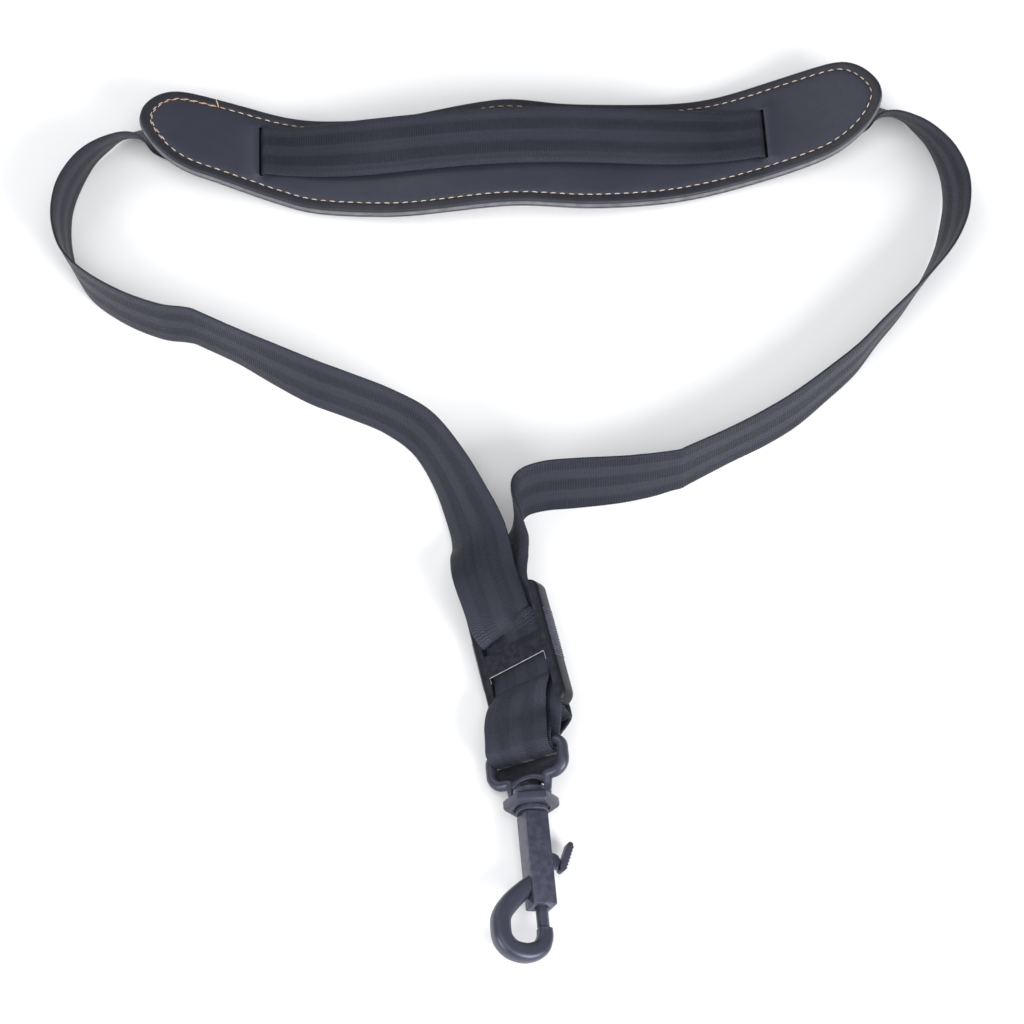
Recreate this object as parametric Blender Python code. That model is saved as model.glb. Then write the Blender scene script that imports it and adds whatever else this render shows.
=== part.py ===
"""Saxophone neck strap: padded leather yoke, one length of webbing, slider, swivel eye and bolt hook.

The strap lies on a flat surface, its hook toward -Y. Sizes are in millimetres and are turned into
metres where a mesh is made. Sub-assemblies have frames of their own: +X across the webbing, +Y up
the strap toward the neck, +Z out of the front face.
"""

import math

import bmesh
import bpy
from mathutils import Matrix, Vector

MM = 0.001
GAP = 0.3  # clearance between neighbouring pieces

# The whole strap is moved so that the middle of its outline stands on the origin.
ORIGIN_SHIFT = (0.0, -9.76, 0.21)

# Webbing
WEB_WIDTH = 25.0
WEB_THICK = 1.0

# Pad
PAD_CENTRE = (-0.6, 199.7)
PAD_TURN = 2.5  # degrees, right end further from the hook
PAD_HALF_LENGTH = 158.5
PAD_BASE = 1.6  # height of the pad over the surface, where the webbing runs under it
PAD_ARCH = 7.0  # rise of the pad's middle
PAD_ARCH_HALF = 95.0
PAD_END_LIFT = 18.5  # rise of the pad's ends over the webbing that leaves them on edge
PAD_LIFT_FROM = 80.0
LINING_THICK = 0.8
FOAM_THICK = 2.2
LEATHER_THICK = 1.2
SLOT_AT = 108.0
SLOT_WIDTH = 3.4
RUN_MID = -22.0  # middle line of the webbing on the pad
RUN_EDGE = -34.8  # the run's lower edge beside the slots
RUN_EDGE_DROP = 3.0  # and how much further down it lies in the middle
RUN_TILT = 18.0  # degrees, its upper edge raised
RUN_CLEAR = 1.0
THREAD_INSET = 4.2
THREAD_RADIUS = 0.3

# Slider, in its own frame
SLIDER_AT = (2.9, -71.9, 13.0)
SLIDER_TURN = 13.0
SLIDER_ROLL = 34.0
SLIDER_WIDTH = 34.0
SLIDER_LENGTH = 54.0
SLIDER_BACK = -3.6
SLIDER_FRONT = 4.1
SLIDER_INNER = 26.0
CENTRE_BAR_HALF = 4.7
CENTRE_BAR_BACK = 2.65
END_BAR_INNER = 22.0
END_BAR_FRONT = -1.5
LAYER_BACK = 0.55  # height of the lower of the two webbing layers through the slider
LAYER_FRONT = 1.85

# Swivel eye and hook, in frames that share their origin (the crossbar) and their Y axis
EYE_AT = (5.4, -112.4, 11.0)
EYE_TURN = 5.2
EYE_PITCH = 3.4
EYE_ROLL = 29.0
HOOK_ROLL = -20.0
BAR_RADIUS = 2.2
CROSSBAR_Y = 2.0
EYE_ARM = 15.4
ARCH_HALF = 7.6
ARCH_TOP = -10.2
PLATE_TOP = -4.6  # thin plate between the webbing's fold and the arch
PLATE_BACK = -1.3
PLATE_FRONT = 0.7
BRIDGE_TOP = -10.0  # bar over the rivet's window
BRIDGE_RADIUS = 1.7
BRIDGE_BEND = 11.0
SOCKET_TOP = -15.2
SOCKET_END = -17.6
COLLAR_END = -22.6
COLLAR_ACROSS = 18.5
WASHER_END = -24.2
SHANK_RADIUS = 2.1
HEAD_RADIUS = 5.0
BARREL_HALF = 4.75
BARREL_START = -24.5
BARREL_END = -61.6
SHANK_END = -27.6
BORE_TOP = -29.0
BORE_RADIUS = 2.65
BOLT_RADIUS = 2.35
BOLT_TOP = -39.4
BOLT_TIP = -69.6
BOLT_TRAVEL = 8.0
LEVER_TOP = -40.2
LEVER_END = -45.6
LEVER_THICK = 2.4
SLOT_HALF = 1.6
SPRING_TURNS = 5.0
SPRING_WIRE = 0.25
SPRING_RADIUS = 1.95


def material(name, colour, roughness, metallic=0.0):
    made = bpy.data.materials.new(name)
    made.use_nodes = True
    shader = made.node_tree.nodes["Principled BSDF"]
    shader.inputs["Base Color"].default_value = (*colour, 1.0)
    shader.inputs["Roughness"].default_value = roughness
    shader.inputs["Metallic"].default_value = metallic
    return made


def frame(at, turn=0.0, pitch=0.0, roll=0.0):
    """A frame in millimetres: turned about Z, pitched about X, its right side raised by roll."""
    spin = Matrix.Rotation(math.radians(turn), 4, "Z") @ Matrix.Rotation(math.radians(pitch), 4, "X")
    return Matrix.Translation(at) @ spin @ Matrix.Rotation(math.radians(-roll), 4, "Y")


PAD_FRAME = frame((*PAD_CENTRE, 0.0), PAD_TURN)
SLIDER_FRAME = frame(SLIDER_AT, SLIDER_TURN, 0.0, SLIDER_ROLL)
EYE_FRAME = frame(EYE_AT, EYE_TURN, EYE_PITCH, EYE_ROLL)
HOOK_FRAME = frame(EYE_AT, EYE_TURN, EYE_PITCH, HOOK_ROLL)


def metres(local):
    """The same frame in metres, moved to the part's origin."""
    placed = local.copy()
    placed.translation = (local.translation + Vector(ORIGIN_SHIFT)) * MM
    return placed


def add_object(name, points, faces, paint, local=Matrix.Identity(4), smooth=40.0):
    """One closed mesh from points in millimetres, placed by its frame."""
    mesh = bpy.data.meshes.new(name)
    mesh.from_pydata([Vector(p) * MM for p in points], [], faces)
    work = bmesh.new()
    work.from_mesh(mesh)
    bmesh.ops.recalc_face_normals(work, faces=work.faces)
    work.to_mesh(mesh)
    work.free()
    mesh.shade_smooth()
    mesh.set_sharp_from_angle(angle=math.radians(smooth))
    mesh.materials.append(paint)
    made = bpy.data.objects.new(name, mesh)
    made.matrix_world = metres(local)
    bpy.context.scene.collection.objects.link(made)
    return made


def box(name, low, high, paint, local):
    points = [(x, y, z) for x in (low[0], high[0]) for y in (low[1], high[1]) for z in (low[2], high[2])]
    faces = [(0, 1, 3, 2), (4, 6, 7, 5), (0, 4, 5, 1), (2, 3, 7, 6), (0, 2, 6, 4), (1, 5, 7, 3)]
    return add_object(name, points, faces, paint, local)


def rings_to_faces(count, sides, closed=False):
    """Side faces between rings of points, and end caps on an open run."""
    faces = []
    for i in range(count if closed else count - 1):
        a, b = i * sides, ((i + 1) % count) * sides
        faces += [(a + j, a + (j + 1) % sides, b + (j + 1) % sides, b + j) for j in range(sides)]
    if not closed:
        faces.append(tuple(range(sides)))
        faces.append(tuple((count - 1) * sides + j for j in reversed(range(sides))))
    return faces


def turned(name, profile, paint, local, sides=24):
    """A closed turned piece on the frame's Y axis from (y, radius) points."""
    points = []
    for y, radius in profile:
        for j in range(sides):
            angle = 2 * math.pi * j / sides
            points.append((radius * math.cos(angle), y, radius * math.sin(angle)))
    return add_object(name, points, rings_to_faces(len(profile), sides), paint, local)


def cut(target, tool, operation="DIFFERENCE"):
    """Cut a hidden tool from a piece, or join it on."""
    change = target.modifiers.new(tool.name, "BOOLEAN")
    change.operation = operation
    change.object = tool
    tool.hide_render = True
    tool.display_type = "WIRE"


def round_edges(target, width, segments=2):
    change = target.modifiers.new("round_edges", "BEVEL")
    change.width = width * MM
    change.segments = segments
    change.limit_method = "ANGLE"
    change.angle_limit = math.radians(50)


def smooth_curve(route, steps):
    """Catmull-Rom points through a route of equal-length tuples."""
    ends = [[2 * a - b for a, b in zip(route[0], route[1])]]
    ends += [list(p) for p in route]
    ends += [[2 * a - b for a, b in zip(route[-1], route[-2])]]
    out = []
    for i in range(1, len(ends) - 2):
        p0, p1, p2, p3 = ends[i - 1 : i + 3]
        for k in range(steps):
            t = k / steps
            out.append(
                [
                    0.5 * (2 * b + (c - a) * t + (2 * a - 5 * b + 4 * c - d) * t**2 + (3 * b - a - 3 * c + d) * t**3)
                    for a, b, c, d in zip(p0, p1, p2, p3)
                ]
            )
    out.append(list(ends[-2]))
    return out


def ribbon(name, curve, first, last, paint):
    """A stretch of a strap's curve of (x, y, z, lean); lean is its top edge's tilt to the left of travel."""
    points = []
    places = [Vector(s[:3]) for s in curve]
    for i in range(first, last + 1):
        ahead = (places[min(i + 1, len(places) - 1)] - places[max(i - 1, 0)]).normalized()
        left = Vector((-ahead.y, ahead.x, 0.0)).normalized()
        upward = ahead.cross(left)
        lean = math.radians(curve[i][3])
        across = upward * math.cos(lean) + left * math.sin(lean)
        half_w, half_t = across * WEB_WIDTH / 2, ahead.cross(across) * WEB_THICK / 2
        back_off = ahead * (GAP / 2) * ((i == first) - (i == last))
        corners = (half_w + half_t, half_w - half_t, -half_w - half_t, -half_w + half_t)
        points += [places[i] + back_off + p for p in corners]
    return add_object(name, points, rings_to_faces(last - first + 1, 4), paint)


def strip(name, rows, paint):
    """A strap from (place, across) rows."""
    points = []
    for i, (here, across) in enumerate(rows):
        ahead = (rows[min(i + 1, len(rows) - 1)][0] - rows[max(i - 1, 0)][0]).normalized()
        out = across.cross(ahead).normalized() * WEB_THICK / 2
        half = across * WEB_WIDTH / 2
        points += [here + p for p in (half + out, half - out, -half - out, -half + out)]
    return add_object(name, points, rings_to_faces(len(rows), 4), paint)


def row(local, y, z, x=0.0):
    """A row of a strap that lies straight along a frame's X axis."""
    return local @ Vector((x, y, z)), local.to_3x3().col[0]


def leaning(place, turn, roll):
    """A row at a place, turned about Z and with its right side raised."""
    return Vector(place), Matrix.Rotation(math.radians(turn), 3, "Z") @ Vector(
        (math.cos(math.radians(roll)), 0.0, math.sin(math.radians(roll)))
    )


def tube(name, path, radius, paint, local=Matrix.Identity(4), sides=8, closed=False):
    """A round bar along points."""
    places = [Vector(p) for p in path]
    count = len(places)
    points = []
    for i, here in enumerate(places):
        before = places[(i - 1) % count] if closed else places[max(i - 1, 0)]
        after = places[(i + 1) % count] if closed else places[min(i + 1, count - 1)]
        ahead = (after - before).normalized()
        side = ahead.cross(Vector((0, 0, 1)))
        side = side.normalized() if side.length > 1e-6 else Vector((1, 0, 0))
        rise = side.cross(ahead)
        for j in range(sides):
            angle = 2 * math.pi * j / sides
            points.append(here + (side * math.cos(angle) + rise * math.sin(angle)) * radius)
    return add_object(name, points, rings_to_faces(count, sides, closed), paint, local)


def arc(centre, radius, start, end, steps):
    """Points of an arc in a plane, angles in degrees."""
    out = []
    for k in range(steps + 1):
        angle = math.radians(start + (end - start) * k / steps)
        out.append((centre[0] + radius * math.cos(angle), centre[1] + radius * math.sin(angle)))
    return out


# ---------------------------------------------------------------- pad

PAD_TOP_EDGE = [
    (-158.5, -13.5),
    (-156.8, -5.5),
    (-151.0, 1.8),
    (-143.3, 5.6),
    (-133.0, 5.4),
    (-117.3, 2.6),
    (-89.5, -3.9),
    (-50.6, -6.2),
    (-16.0, -2.4),
    (0.0, -1.4),
    (25.0, -4.4),
    (61.5, -3.2),
    (84.0, -0.6),
    (117.8, 7.0),
    (140.6, 9.6),
    (150.2, 5.0),
    (156.4, -4.0),
    (158.5, -11.5),
]
PAD_BOTTOM_EDGE = [
    (-158.5, -13.5),
    (-155.0, -21.0),
    (-148.2, -28.8),
    (-139.1, -34.0),
    (-127.5, -37.0),
    (-116.2, -40.6),
    (-100.7, -46.0),
    (-84.6, -51.0),
    (-53.2, -55.8),
    (-31.9, -56.3),
    (0.0, -55.2),
    (30.8, -56.8),
    (63.9, -53.3),
    (97.1, -45.6),
    (130.2, -38.4),
    (141.5, -34.0),
    (150.8, -27.0),
    (156.4, -19.0),
    (158.5, -11.5),
]


def pad_rise(u):
    """Height of the pad's arched middle and raised ends over its lowest places."""
    arch = PAD_ARCH * 0.5 * (1 + math.cos(math.pi * u / PAD_ARCH_HALF)) if abs(u) < PAD_ARCH_HALF else 0.0
    return arch + PAD_END_LIFT * (max(abs(u) - PAD_LIFT_FROM, 0.0) / PAD_LIFT_FROM) ** 2


def edge_at(edge, u):
    """An edge's height at a place along the pad."""
    curve = smooth_curve(edge, 8)
    for a, b in zip(curve, curve[1:]):
        if a[0] <= u <= b[0]:
            return a[1] + (b[1] - a[1]) * (u - a[0]) / max(b[0] - a[0], 1e-9)
    return curve[-1][1] if u > 0 else curve[0][1]


def pad_columns():
    """Places along the pad: close together at its round ends and beside the slots."""
    ends = [PAD_HALF_LENGTH - 0.6 - 26 * (1 - math.cos(math.pi / 2 * k / 6)) for k in range(7)]
    inner = [SLOT_AT + SLOT_WIDTH / 2, SLOT_AT - SLOT_WIDTH / 2]
    inner += [95.0 - 9.5 * k for k in range(10)]
    right = ends + [121.0] + inner
    return sorted([-u for u in right] + right + [0.0])


def pad_rows(u):
    """Places across the pad: its two edges and lines that frame the slots."""
    top, bottom = edge_at(PAD_TOP_EDGE, u), edge_at(PAD_BOTTOM_EDGE, u)
    high, low = RUN_MID + 13.6, RUN_MID - 13.6
    if top - bottom < 2 * (top - high) + 8 or high > top - 1 or low < bottom + 1:
        return [bottom + (top - bottom) * share for share in (0.0, 0.28, 0.72, 1.0)]
    return [bottom, low, high, top]


def pad_layer(name, low, high, paint, inset=0.0):
    """One layer of the pad between two heights over its underside, with both webbing slots."""
    columns = pad_columns()
    rows = [pad_rows(u) for u in columns]
    count = len(rows[0])
    points = []
    for height in (low, high):
        for u, row in zip(columns, rows):
            squeeze = [row[0] + inset, *row[1:-1], row[-1] - inset]
            points += [(u, v, PAD_BASE + pad_rise(u) + height) for v in squeeze]
    top = len(columns) * count
    faces = []
    slots = set()
    for side in (-1, 1):
        slots.add(min(range(len(columns)), key=lambda i: abs(columns[i] - side * SLOT_AT + SLOT_WIDTH / 2)))

    def cell(i, j):
        return (i * count + j, (i + 1) * count + j, (i + 1) * count + j + 1, i * count + j + 1)

    kept = {(i, j) for i in range(len(columns) - 1) for j in range(count - 1) if not (i in slots and j == 1)}
    for i, j in kept:
        square = cell(i, j)
        faces.append(tuple(reversed(square)))
        faces.append(tuple(n + top for n in square))
        around = {(i, j - 1): (0, 1), (i + 1, j): (1, 2), (i, j + 1): (2, 3), (i - 1, j): (3, 0)}
        for beside, (a, b) in around.items():
            if beside not in kept:
                faces.append((square[a], square[b], square[b] + top, square[a] + top))
    return add_object(name, points, faces, paint, PAD_FRAME, 30.0)


def pad_outline(inset):
    """The stitch line, a fixed distance inside the pad's edge."""
    ends = PAD_HALF_LENGTH - inset
    share = [math.cos(math.pi * k / 40) for k in range(41)]
    upper = [(ends * s, edge_at(PAD_TOP_EDGE, PAD_HALF_LENGTH * s * 0.985) - inset) for s in share]
    lower = [(ends * s, edge_at(PAD_BOTTOM_EDGE, PAD_HALF_LENGTH * s * 0.985) + inset) for s in share]
    middle = (upper[0][1] + lower[0][1]) / 2
    far = (upper[-1][1] + lower[-1][1]) / 2
    return [(ends, middle), *upper[1:-1], (-ends, far), *reversed(lower[1:-1])]


def build_pad(leather, foam, lining, thread):
    foam_low = LINING_THICK + GAP
    leather_low = foam_low + FOAM_THICK + GAP
    pad_layer("pad_lining", 0.0, LINING_THICK, lining)
    pad_layer("pad_foam_core", foam_low, foam_low + FOAM_THICK, foam, 0.5)
    pad_layer("pad_leather_face", leather_low, leather_low + LEATHER_THICK, leather)
    height = PAD_BASE + leather_low + LEATHER_THICK + 0.1 + THREAD_RADIUS
    path = [(u, v, pad_rise(u) + height) for u, v in pad_outline(THREAD_INSET)]
    tube("pad_stitch_thread", path, THREAD_RADIUS, thread, PAD_FRAME, 4, True)
    return height


# ---------------------------------------------------------------- webbing

# Stations (x, y, z, lean) from the pad's slots to the slider; lean 90 or -90 is flat.
LEFT_ROUTE = [
    (-107.0, 173.0, 1.4, 90.0),
    (-128.0, 176.0, 2.8, 81.0),
    (-146.0, 179.0, 5.6, 67.0),
    (-157.5, 180.5, 8.4, 52.0),
    (-167.0, 178.0, 11.6, 30.0),
    (-176.0, 171.5, 12.4, 17.0),
    (-183.5, 161.5, 12.6, 3.0),
    (-188.5, 149.0, 12.5, -6.0),
    (-189.8, 137.0, 12.4, -11.0),
    (-188.5, 125.0, 12.2, -13.0),
    (-184.0, 112.0, 12.3, -11.0),
    (-175.0, 100.5, 12.5, -4.0),
    (-160.0, 90.0, 12.6, 0.0),
    (-145.0, 83.5, 12.6, 2.0),
    (-135.1, 81.9, 12.6, 2.0),
    (-131.1, 81.0, 12.6, 2.0),
    (-127.5, 79.2, 12.6, 2.0),
    (-112.0, 71.0, 12.6, 3.0),
    (-96.0, 62.0, 12.4, 10.0),
    (-81.0, 54.0, 12.2, 15.0),
    (-66.0, 47.5, 12.2, 15.0),
    (-50.0, 40.0, 12.2, 16.0),
    (-36.0, 30.0, 11.6, 23.0),
    (-25.5, 14.0, 10.9, 31.0),
    (-17.4, -5.0, 11.2, 44.0),
    (-13.6, -17.5, 13.0, 57.0),
    (-12.4, -28.0, 15.8, 74.0),
    (-10.9, -38.0, 18.0, 84.0),
    (-7.3, -49.6, 18.6, 80.0),
    (-4.3, -58.6, 17.8, 72.0),
]
RIGHT_ROUTE = [
    (108.0, 182.5, 1.4, -90.0),
    (129.0, 187.5, 2.8, -81.0),
    (146.0, 191.5, 5.6, -67.0),
    (157.5, 192.5, 8.4, -52.0),
    (167.0, 189.0, 11.6, -29.0),
    (175.5, 182.0, 12.4, -16.0),
    (181.5, 173.5, 12.6, -4.0),
    (186.0, 163.0, 12.5, 8.0),
    (188.0, 150.0, 12.2, 19.0),
    (186.5, 137.0, 11.8, 24.0),
    (183.0, 125.0, 11.8, 23.0),
    (176.5, 112.0, 12.1, 19.0),
    (165.0, 95.0, 12.4, 11.0),
    (152.0, 79.0, 12.6, 6.0),
    (141.0, 65.0, 12.7, 1.0),
    (128.0, 52.5, 12.7, -2.0),
    (115.0, 41.0, 12.7, -5.0),
    (102.0, 32.0, 12.7, -5.0),
    (88.0, 24.0, 12.7, -4.0),
    (71.1, 14.7, 12.6, -7.0),
    (67.6, 12.7, 12.6, -8.0),
    (63.6, 11.7, 12.6, -9.0),
    (56.0, 9.9, 12.5, -13.0),
    (43.0, 8.0, 12.0, -18.0),
    (27.0, 6.5, 12.0, -22.0),
    (13.0, 5.0, 12.1, -22.0),
    (4.5, 1.5, 12.4, -18.0),
    (1.5, -5.0, 12.8, -8.0),
    (1.0, -13.0, 12.7, 10.0),
    (-0.6, -21.0, 12.0, 36.0),
    (-3.0, -28.5, 12.0, 50.0),
    (-4.4, -35.5, 12.6, 55.0),
]
# Each solid of the strap starts at this station of its route.
LEFT_PARTS = [
    ("webbing_left_tail", 0),
    ("webbing_left_turn", 5),
    ("webbing_left_run", 11),
    ("webbing_left_drop", 22),
]
RIGHT_PARTS = [
    ("webbing_right_tail", 0),
    ("webbing_right_turn", 5),
    ("webbing_right_run", 11),
    ("webbing_right_drop", 23),
]
CURVE_STEPS = 3


def in_slider(y, z, x=0.0, lean=90.0 - SLIDER_ROLL):
    """A station of the strap given in the slider's frame, square to it unless a lean is stated."""
    at = SLIDER_FRAME @ Vector((x, y, z))
    return (at.x, at.y, at.z, lean)


def build_webbing(paint, pad_top):
    left = LEFT_ROUTE + [in_slider(10.5, 2.7, 0.0, 58.5)]
    left += [in_slider(y, LAYER_FRONT) for y in (8.0, 4.0, 0.0, -6.0)] + [in_slider(-12.0, 2.6, -0.2, 58.0)]
    right = RIGHT_ROUTE + [in_slider(y, LAYER_BACK) for y in (31.0, 24.0, 14.0, 2.0, -12.0)]
    for route, parts in ((left, LEFT_PARTS), (right, RIGHT_PARTS)):
        curve = smooth_curve(route, CURVE_STEPS)
        breaks = [station * CURVE_STEPS for _, station in parts] + [len(curve) - 1]
        for (name, _), first, last in zip(parts, breaks, breaks[1:]):
            ribbon(name, curve, first, last, paint)
    ends = SLOT_AT - 0.1
    reach = ends - 3.0
    lip = pad_rise(SLOT_AT) + pad_top + WEB_THICK / 2 - 0.4
    low = pad_rise(SLOT_AT) + PAD_BASE + LINING_THICK
    rows = [over_pad(reach * k / 7, pad_top) for k in range(-7, 8)]
    rows = [flat_over(-ends, low), flat_over(0.1 - ends, lip), *rows, flat_over(ends - 0.1, lip), flat_over(ends, low)]
    strip("webbing_pad_run", rows, paint)


def flat_over(u, height):
    """A row of the pad run that lies straight across the pad."""
    middle = RUN_EDGE + WEB_WIDTH / 2
    return PAD_FRAME @ Vector((u, middle, height)), -PAD_FRAME.to_3x3().col[1]


def over_pad(u, pad_top):
    """A row of the pad run, which tilts towards the middle of the pad with its upper edge raised."""
    share = min(max((104.0 - abs(u)) / 45.0, 0.0), 1.0)
    share = share * share * (3 - 2 * share)
    tilt = math.radians(RUN_TILT * share)
    v = RUN_EDGE - RUN_EDGE_DROP * share + WEB_WIDTH / 2 * math.cos(tilt)
    clear = RUN_CLEAR + 1.2 * share + WEB_THICK / 2
    z = pad_top + pad_rise(u) + clear + WEB_WIDTH / 2 * math.sin(tilt)
    return PAD_FRAME @ Vector((u, v, z)), PAD_FRAME.to_3x3() @ Vector((0.0, -math.cos(tilt), -math.sin(tilt)))


# The front layer from the slider's centre bar to the eye's crossbar
LOOP_START = [(-0.2, -12.9, 2.85, 31.6), (-0.5, -15.5, 4.5, 28.0), (-2.8, -19.5, 5.8, 21.0)]  # x, y, z, roll
LOOP_FRONT = [((1.2, -98.7, 16.0), 14.0, 15.0), ((1.4, -105.5, 17.2), 14.0, 16.0)]  # place, turn, roll
LOOP_FOLD = [  # angle round the crossbar, extra radius, turn, roll
    (90.0, 2.8, 12.0, 18.0),
    (105.0, 2.6, 11.0, 21.0),
    (120.0, 2.0, 9.0, 24.0),
    (135.0, 1.3, 7.0, 27.0),
    (150.0, 0.7, 5.6, 28.5),
    (170.0, 0.2, 5.2, 29.0),
]


def build_loops(paint):
    """The stretches between slider and eye: front layer and its return, and the two sewn ends."""
    slider, eye = SLIDER_FRAME, EYE_FRAME
    outer = BAR_RADIUS + 2 * GAP + 1.5 * WEB_THICK
    inner = BAR_RADIUS + GAP + 0.5 * WEB_THICK
    rows = [leaning(slider @ Vector((x, y, z)), SLIDER_TURN, roll) for x, y, z, roll in LOOP_START]
    rows += [leaning(*part) for part in LOOP_FRONT]
    for angle, grow, turn, roll in LOOP_FOLD:
        y, z = arc((CROSSBAR_Y, 0.0), outer + grow, angle, angle, 1)[0]
        rows.append(leaning(eye @ Vector((-0.3, y, z)), turn, roll))
    rows += [row(eye, y, z) for y, z in arc((CROSSBAR_Y, 0.0), outer, 190, 270, 6)]
    rows += [row(eye, CROSSBAR_Y + 3.0, -outer - 0.2), row(slider, -31.6, -5.75, -1.0), row(slider, -25.0, -5.75)]
    strip("webbing_hook_loop", rows, paint)
    rows = [row(slider, -12.3, LAYER_BACK), row(slider, -22.0, LAYER_BACK, -0.1), row(slider, -28.5, 0.45, -0.3)]
    rows += [row(eye, y, z) for y, z in arc((CROSSBAR_Y, 0.0), inner, 262, 98, 10)]
    rows += [row(eye, CROSSBAR_Y + 3.0, inner - 0.3), row(eye, CROSSBAR_Y + 5.0, inner - 0.9)]
    strip("webbing_eye_end", rows, paint)
    front, back = END_BAR_FRONT + 0.75, SLIDER_BACK - 0.75
    wrap = [(-30.6, back + 1.15), (-29.2, back + 1.5), (-28.0, front - 0.6), (-26.6, front), (-22.6, front)]
    wrap += arc((-22.4, front - 1.2), 1.2, 80, 0, 3)
    wrap += arc((-22.4, back + 1.2), 1.2, 0, -90, 3)
    wrap += [(-27.0, back), (-30.6, back)]
    strip("webbing_slider_end", [row(slider, y, z) for y, z in wrap], paint)


# ---------------------------------------------------------------- slider


def build_slider(plastic):
    half_w, half_l = SLIDER_WIDTH / 2, SLIDER_LENGTH / 2
    corner = 4.0
    outline = []
    for x, y, start in ((1, 1, 0), (-1, 1, 90), (-1, -1, 180), (1, -1, 270)):
        outline += arc((x * (half_w - corner), y * (half_l - corner)), corner, start, start + 90, 4)
    points = [(x, y, z) for z in (SLIDER_BACK, SLIDER_FRONT) for x, y in outline]
    slider = add_object("slider", points, rings_to_faces(2, len(outline)), plastic, SLIDER_FRAME, 50.0)
    round_edges(slider, 0.9)
    side = SLIDER_INNER / 2
    low, high = SLIDER_BACK - 1, SLIDER_FRONT + 1
    windows = {
        "slider_slot_upper": ((CENTRE_BAR_HALF, low), (END_BAR_INNER, high)),
        "slider_slot_lower": ((-END_BAR_INNER, low), (-CENTRE_BAR_HALF, high)),
        "slider_channel": ((-CENTRE_BAR_HALF - 0.5, low), (CENTRE_BAR_HALF + 0.5, CENTRE_BAR_BACK)),
        "slider_step_upper": ((END_BAR_INNER - 0.5, END_BAR_FRONT), (half_l + 1, high)),
        "slider_step_lower": ((-half_l - 1, END_BAR_FRONT), (0.5 - END_BAR_INNER, high)),
    }
    for name, ((y0, z0), (y1, z1)) in windows.items():
        cut(slider, box(name, (-side, y0, z0), (side, y1, z1), plastic, SLIDER_FRAME))


# ---------------------------------------------------------------- swivel eye


def build_eye(plastic):
    corner = 5.0
    right = [(x, y) for x, y in arc((EYE_ARM - 3.0, CROSSBAR_Y - 3.0), 3.0, 90, 0, 4)]
    right += arc((EYE_ARM - corner, ARCH_TOP + corner), corner, 0, -90, 5)
    right += arc((ARCH_HALF + 1.5, ARCH_TOP - 1.5), 1.5, 90, 180, 3)
    right += [(ARCH_HALF, SOCKET_END + 1.0)]
    left = [(-x, y) for x, y in reversed(right)]
    ring = [(x, y, 0.0) for x, y in right + left]
    eye = tube("swivel_eye", ring, BAR_RADIUS, plastic, EYE_FRAME, 10, True)
    base = turned("eye_socket", [(SOCKET_TOP, 6.6), (SOCKET_END, 6.6)], plastic, EYE_FRAME, 20)
    cut(eye, base, "UNION")
    half = EYE_ARM - 1.0
    plate = box("eye_plate", (-half, ARCH_TOP, PLATE_BACK), (half, PLATE_TOP, PLATE_FRONT), plastic, EYE_FRAME)
    cut(eye, plate, "UNION")
    trim = box("eye_trim", (-20, SOCKET_END - 6, -9), (20, SOCKET_END, 9), plastic, EYE_FRAME)
    cut(eye, trim)
    bore_radius = SHANK_RADIUS + GAP
    wide = HEAD_RADIUS + GAP
    bore = [(ARCH_TOP - 0.6, wide), (SOCKET_TOP, wide), (SOCKET_TOP, bore_radius), (SOCKET_END - 1, bore_radius)]
    cut(eye, turned("eye_bore", bore, plastic, EYE_FRAME, 20))
    bridge = [(x, y, 0.0) for x, y in arc((0.0, BRIDGE_TOP - BRIDGE_BEND), BRIDGE_BEND, 130, 50, 8)]
    cut(eye, tube("eye_bridge", bridge, BRIDGE_RADIUS, plastic, EYE_FRAME, 10), "UNION")
    head = SOCKET_TOP + GAP
    profile = [(head + 2.7, 2.6), (head + 2.2, 4.0), (head + 1.4, HEAD_RADIUS), (head, HEAD_RADIUS)]
    profile += [(head, SHANK_RADIUS), (SHANK_END, SHANK_RADIUS)]
    turned("swivel_rivet", profile, plastic, HOOK_FRAME, 20)


def build_collar(plastic):
    """The hexagonal collar, which belongs to the eye, and the washer that turns with the hook."""
    top = SOCKET_END - GAP
    radius = COLLAR_ACROSS / 2 / math.cos(math.radians(30))
    profile = [(top, radius - 1.0), (top - 1.0, radius), (COLLAR_END + 1.0, radius), (COLLAR_END, radius - 1.0)]
    collar = turned("swivel_collar", profile, plastic, EYE_FRAME @ Matrix.Rotation(math.radians(30), 4, "Y"), 6)
    bore = [(top + 1, SHANK_RADIUS + GAP), (COLLAR_END - 1, SHANK_RADIUS + GAP)]
    cut(collar, turned("collar_bore", bore, plastic, HOOK_FRAME, 20))
    washer = turned("swivel_washer", [(COLLAR_END - GAP, 6.0), (WASHER_END, 6.0)], plastic, HOOK_FRAME, 24)
    bore = [(COLLAR_END + 1, SHANK_RADIUS + GAP), (WASHER_END - 1, SHANK_RADIUS + GAP)]
    cut(washer, turned("washer_bore", bore, plastic, HOOK_FRAME, 20))


# ---------------------------------------------------------------- hook

# The hook's bent arm: place in its plane, half width and half depth.
HOOK_ARM = [
    (-2.0, -51.5, 3.0, 3.9),
    (-6.4, -54.6, 3.4, 3.9),
    (-12.4, -60.0, 3.7, 3.9),
    (-16.2, -65.0, 3.6, 3.8),
    (-17.0, -70.0, 3.6, 3.7),
    (-16.4, -74.6, 3.6, 3.7),
    (-13.2, -78.2, 3.6, 3.6),
    (-7.6, -79.4, 3.6, 3.5),
    (-2.4, -77.6, 3.4, 3.4),
    (0.0, -73.6, 3.0, 3.1),
    (0.4, -69.9, 2.8, 3.0),
]


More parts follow.
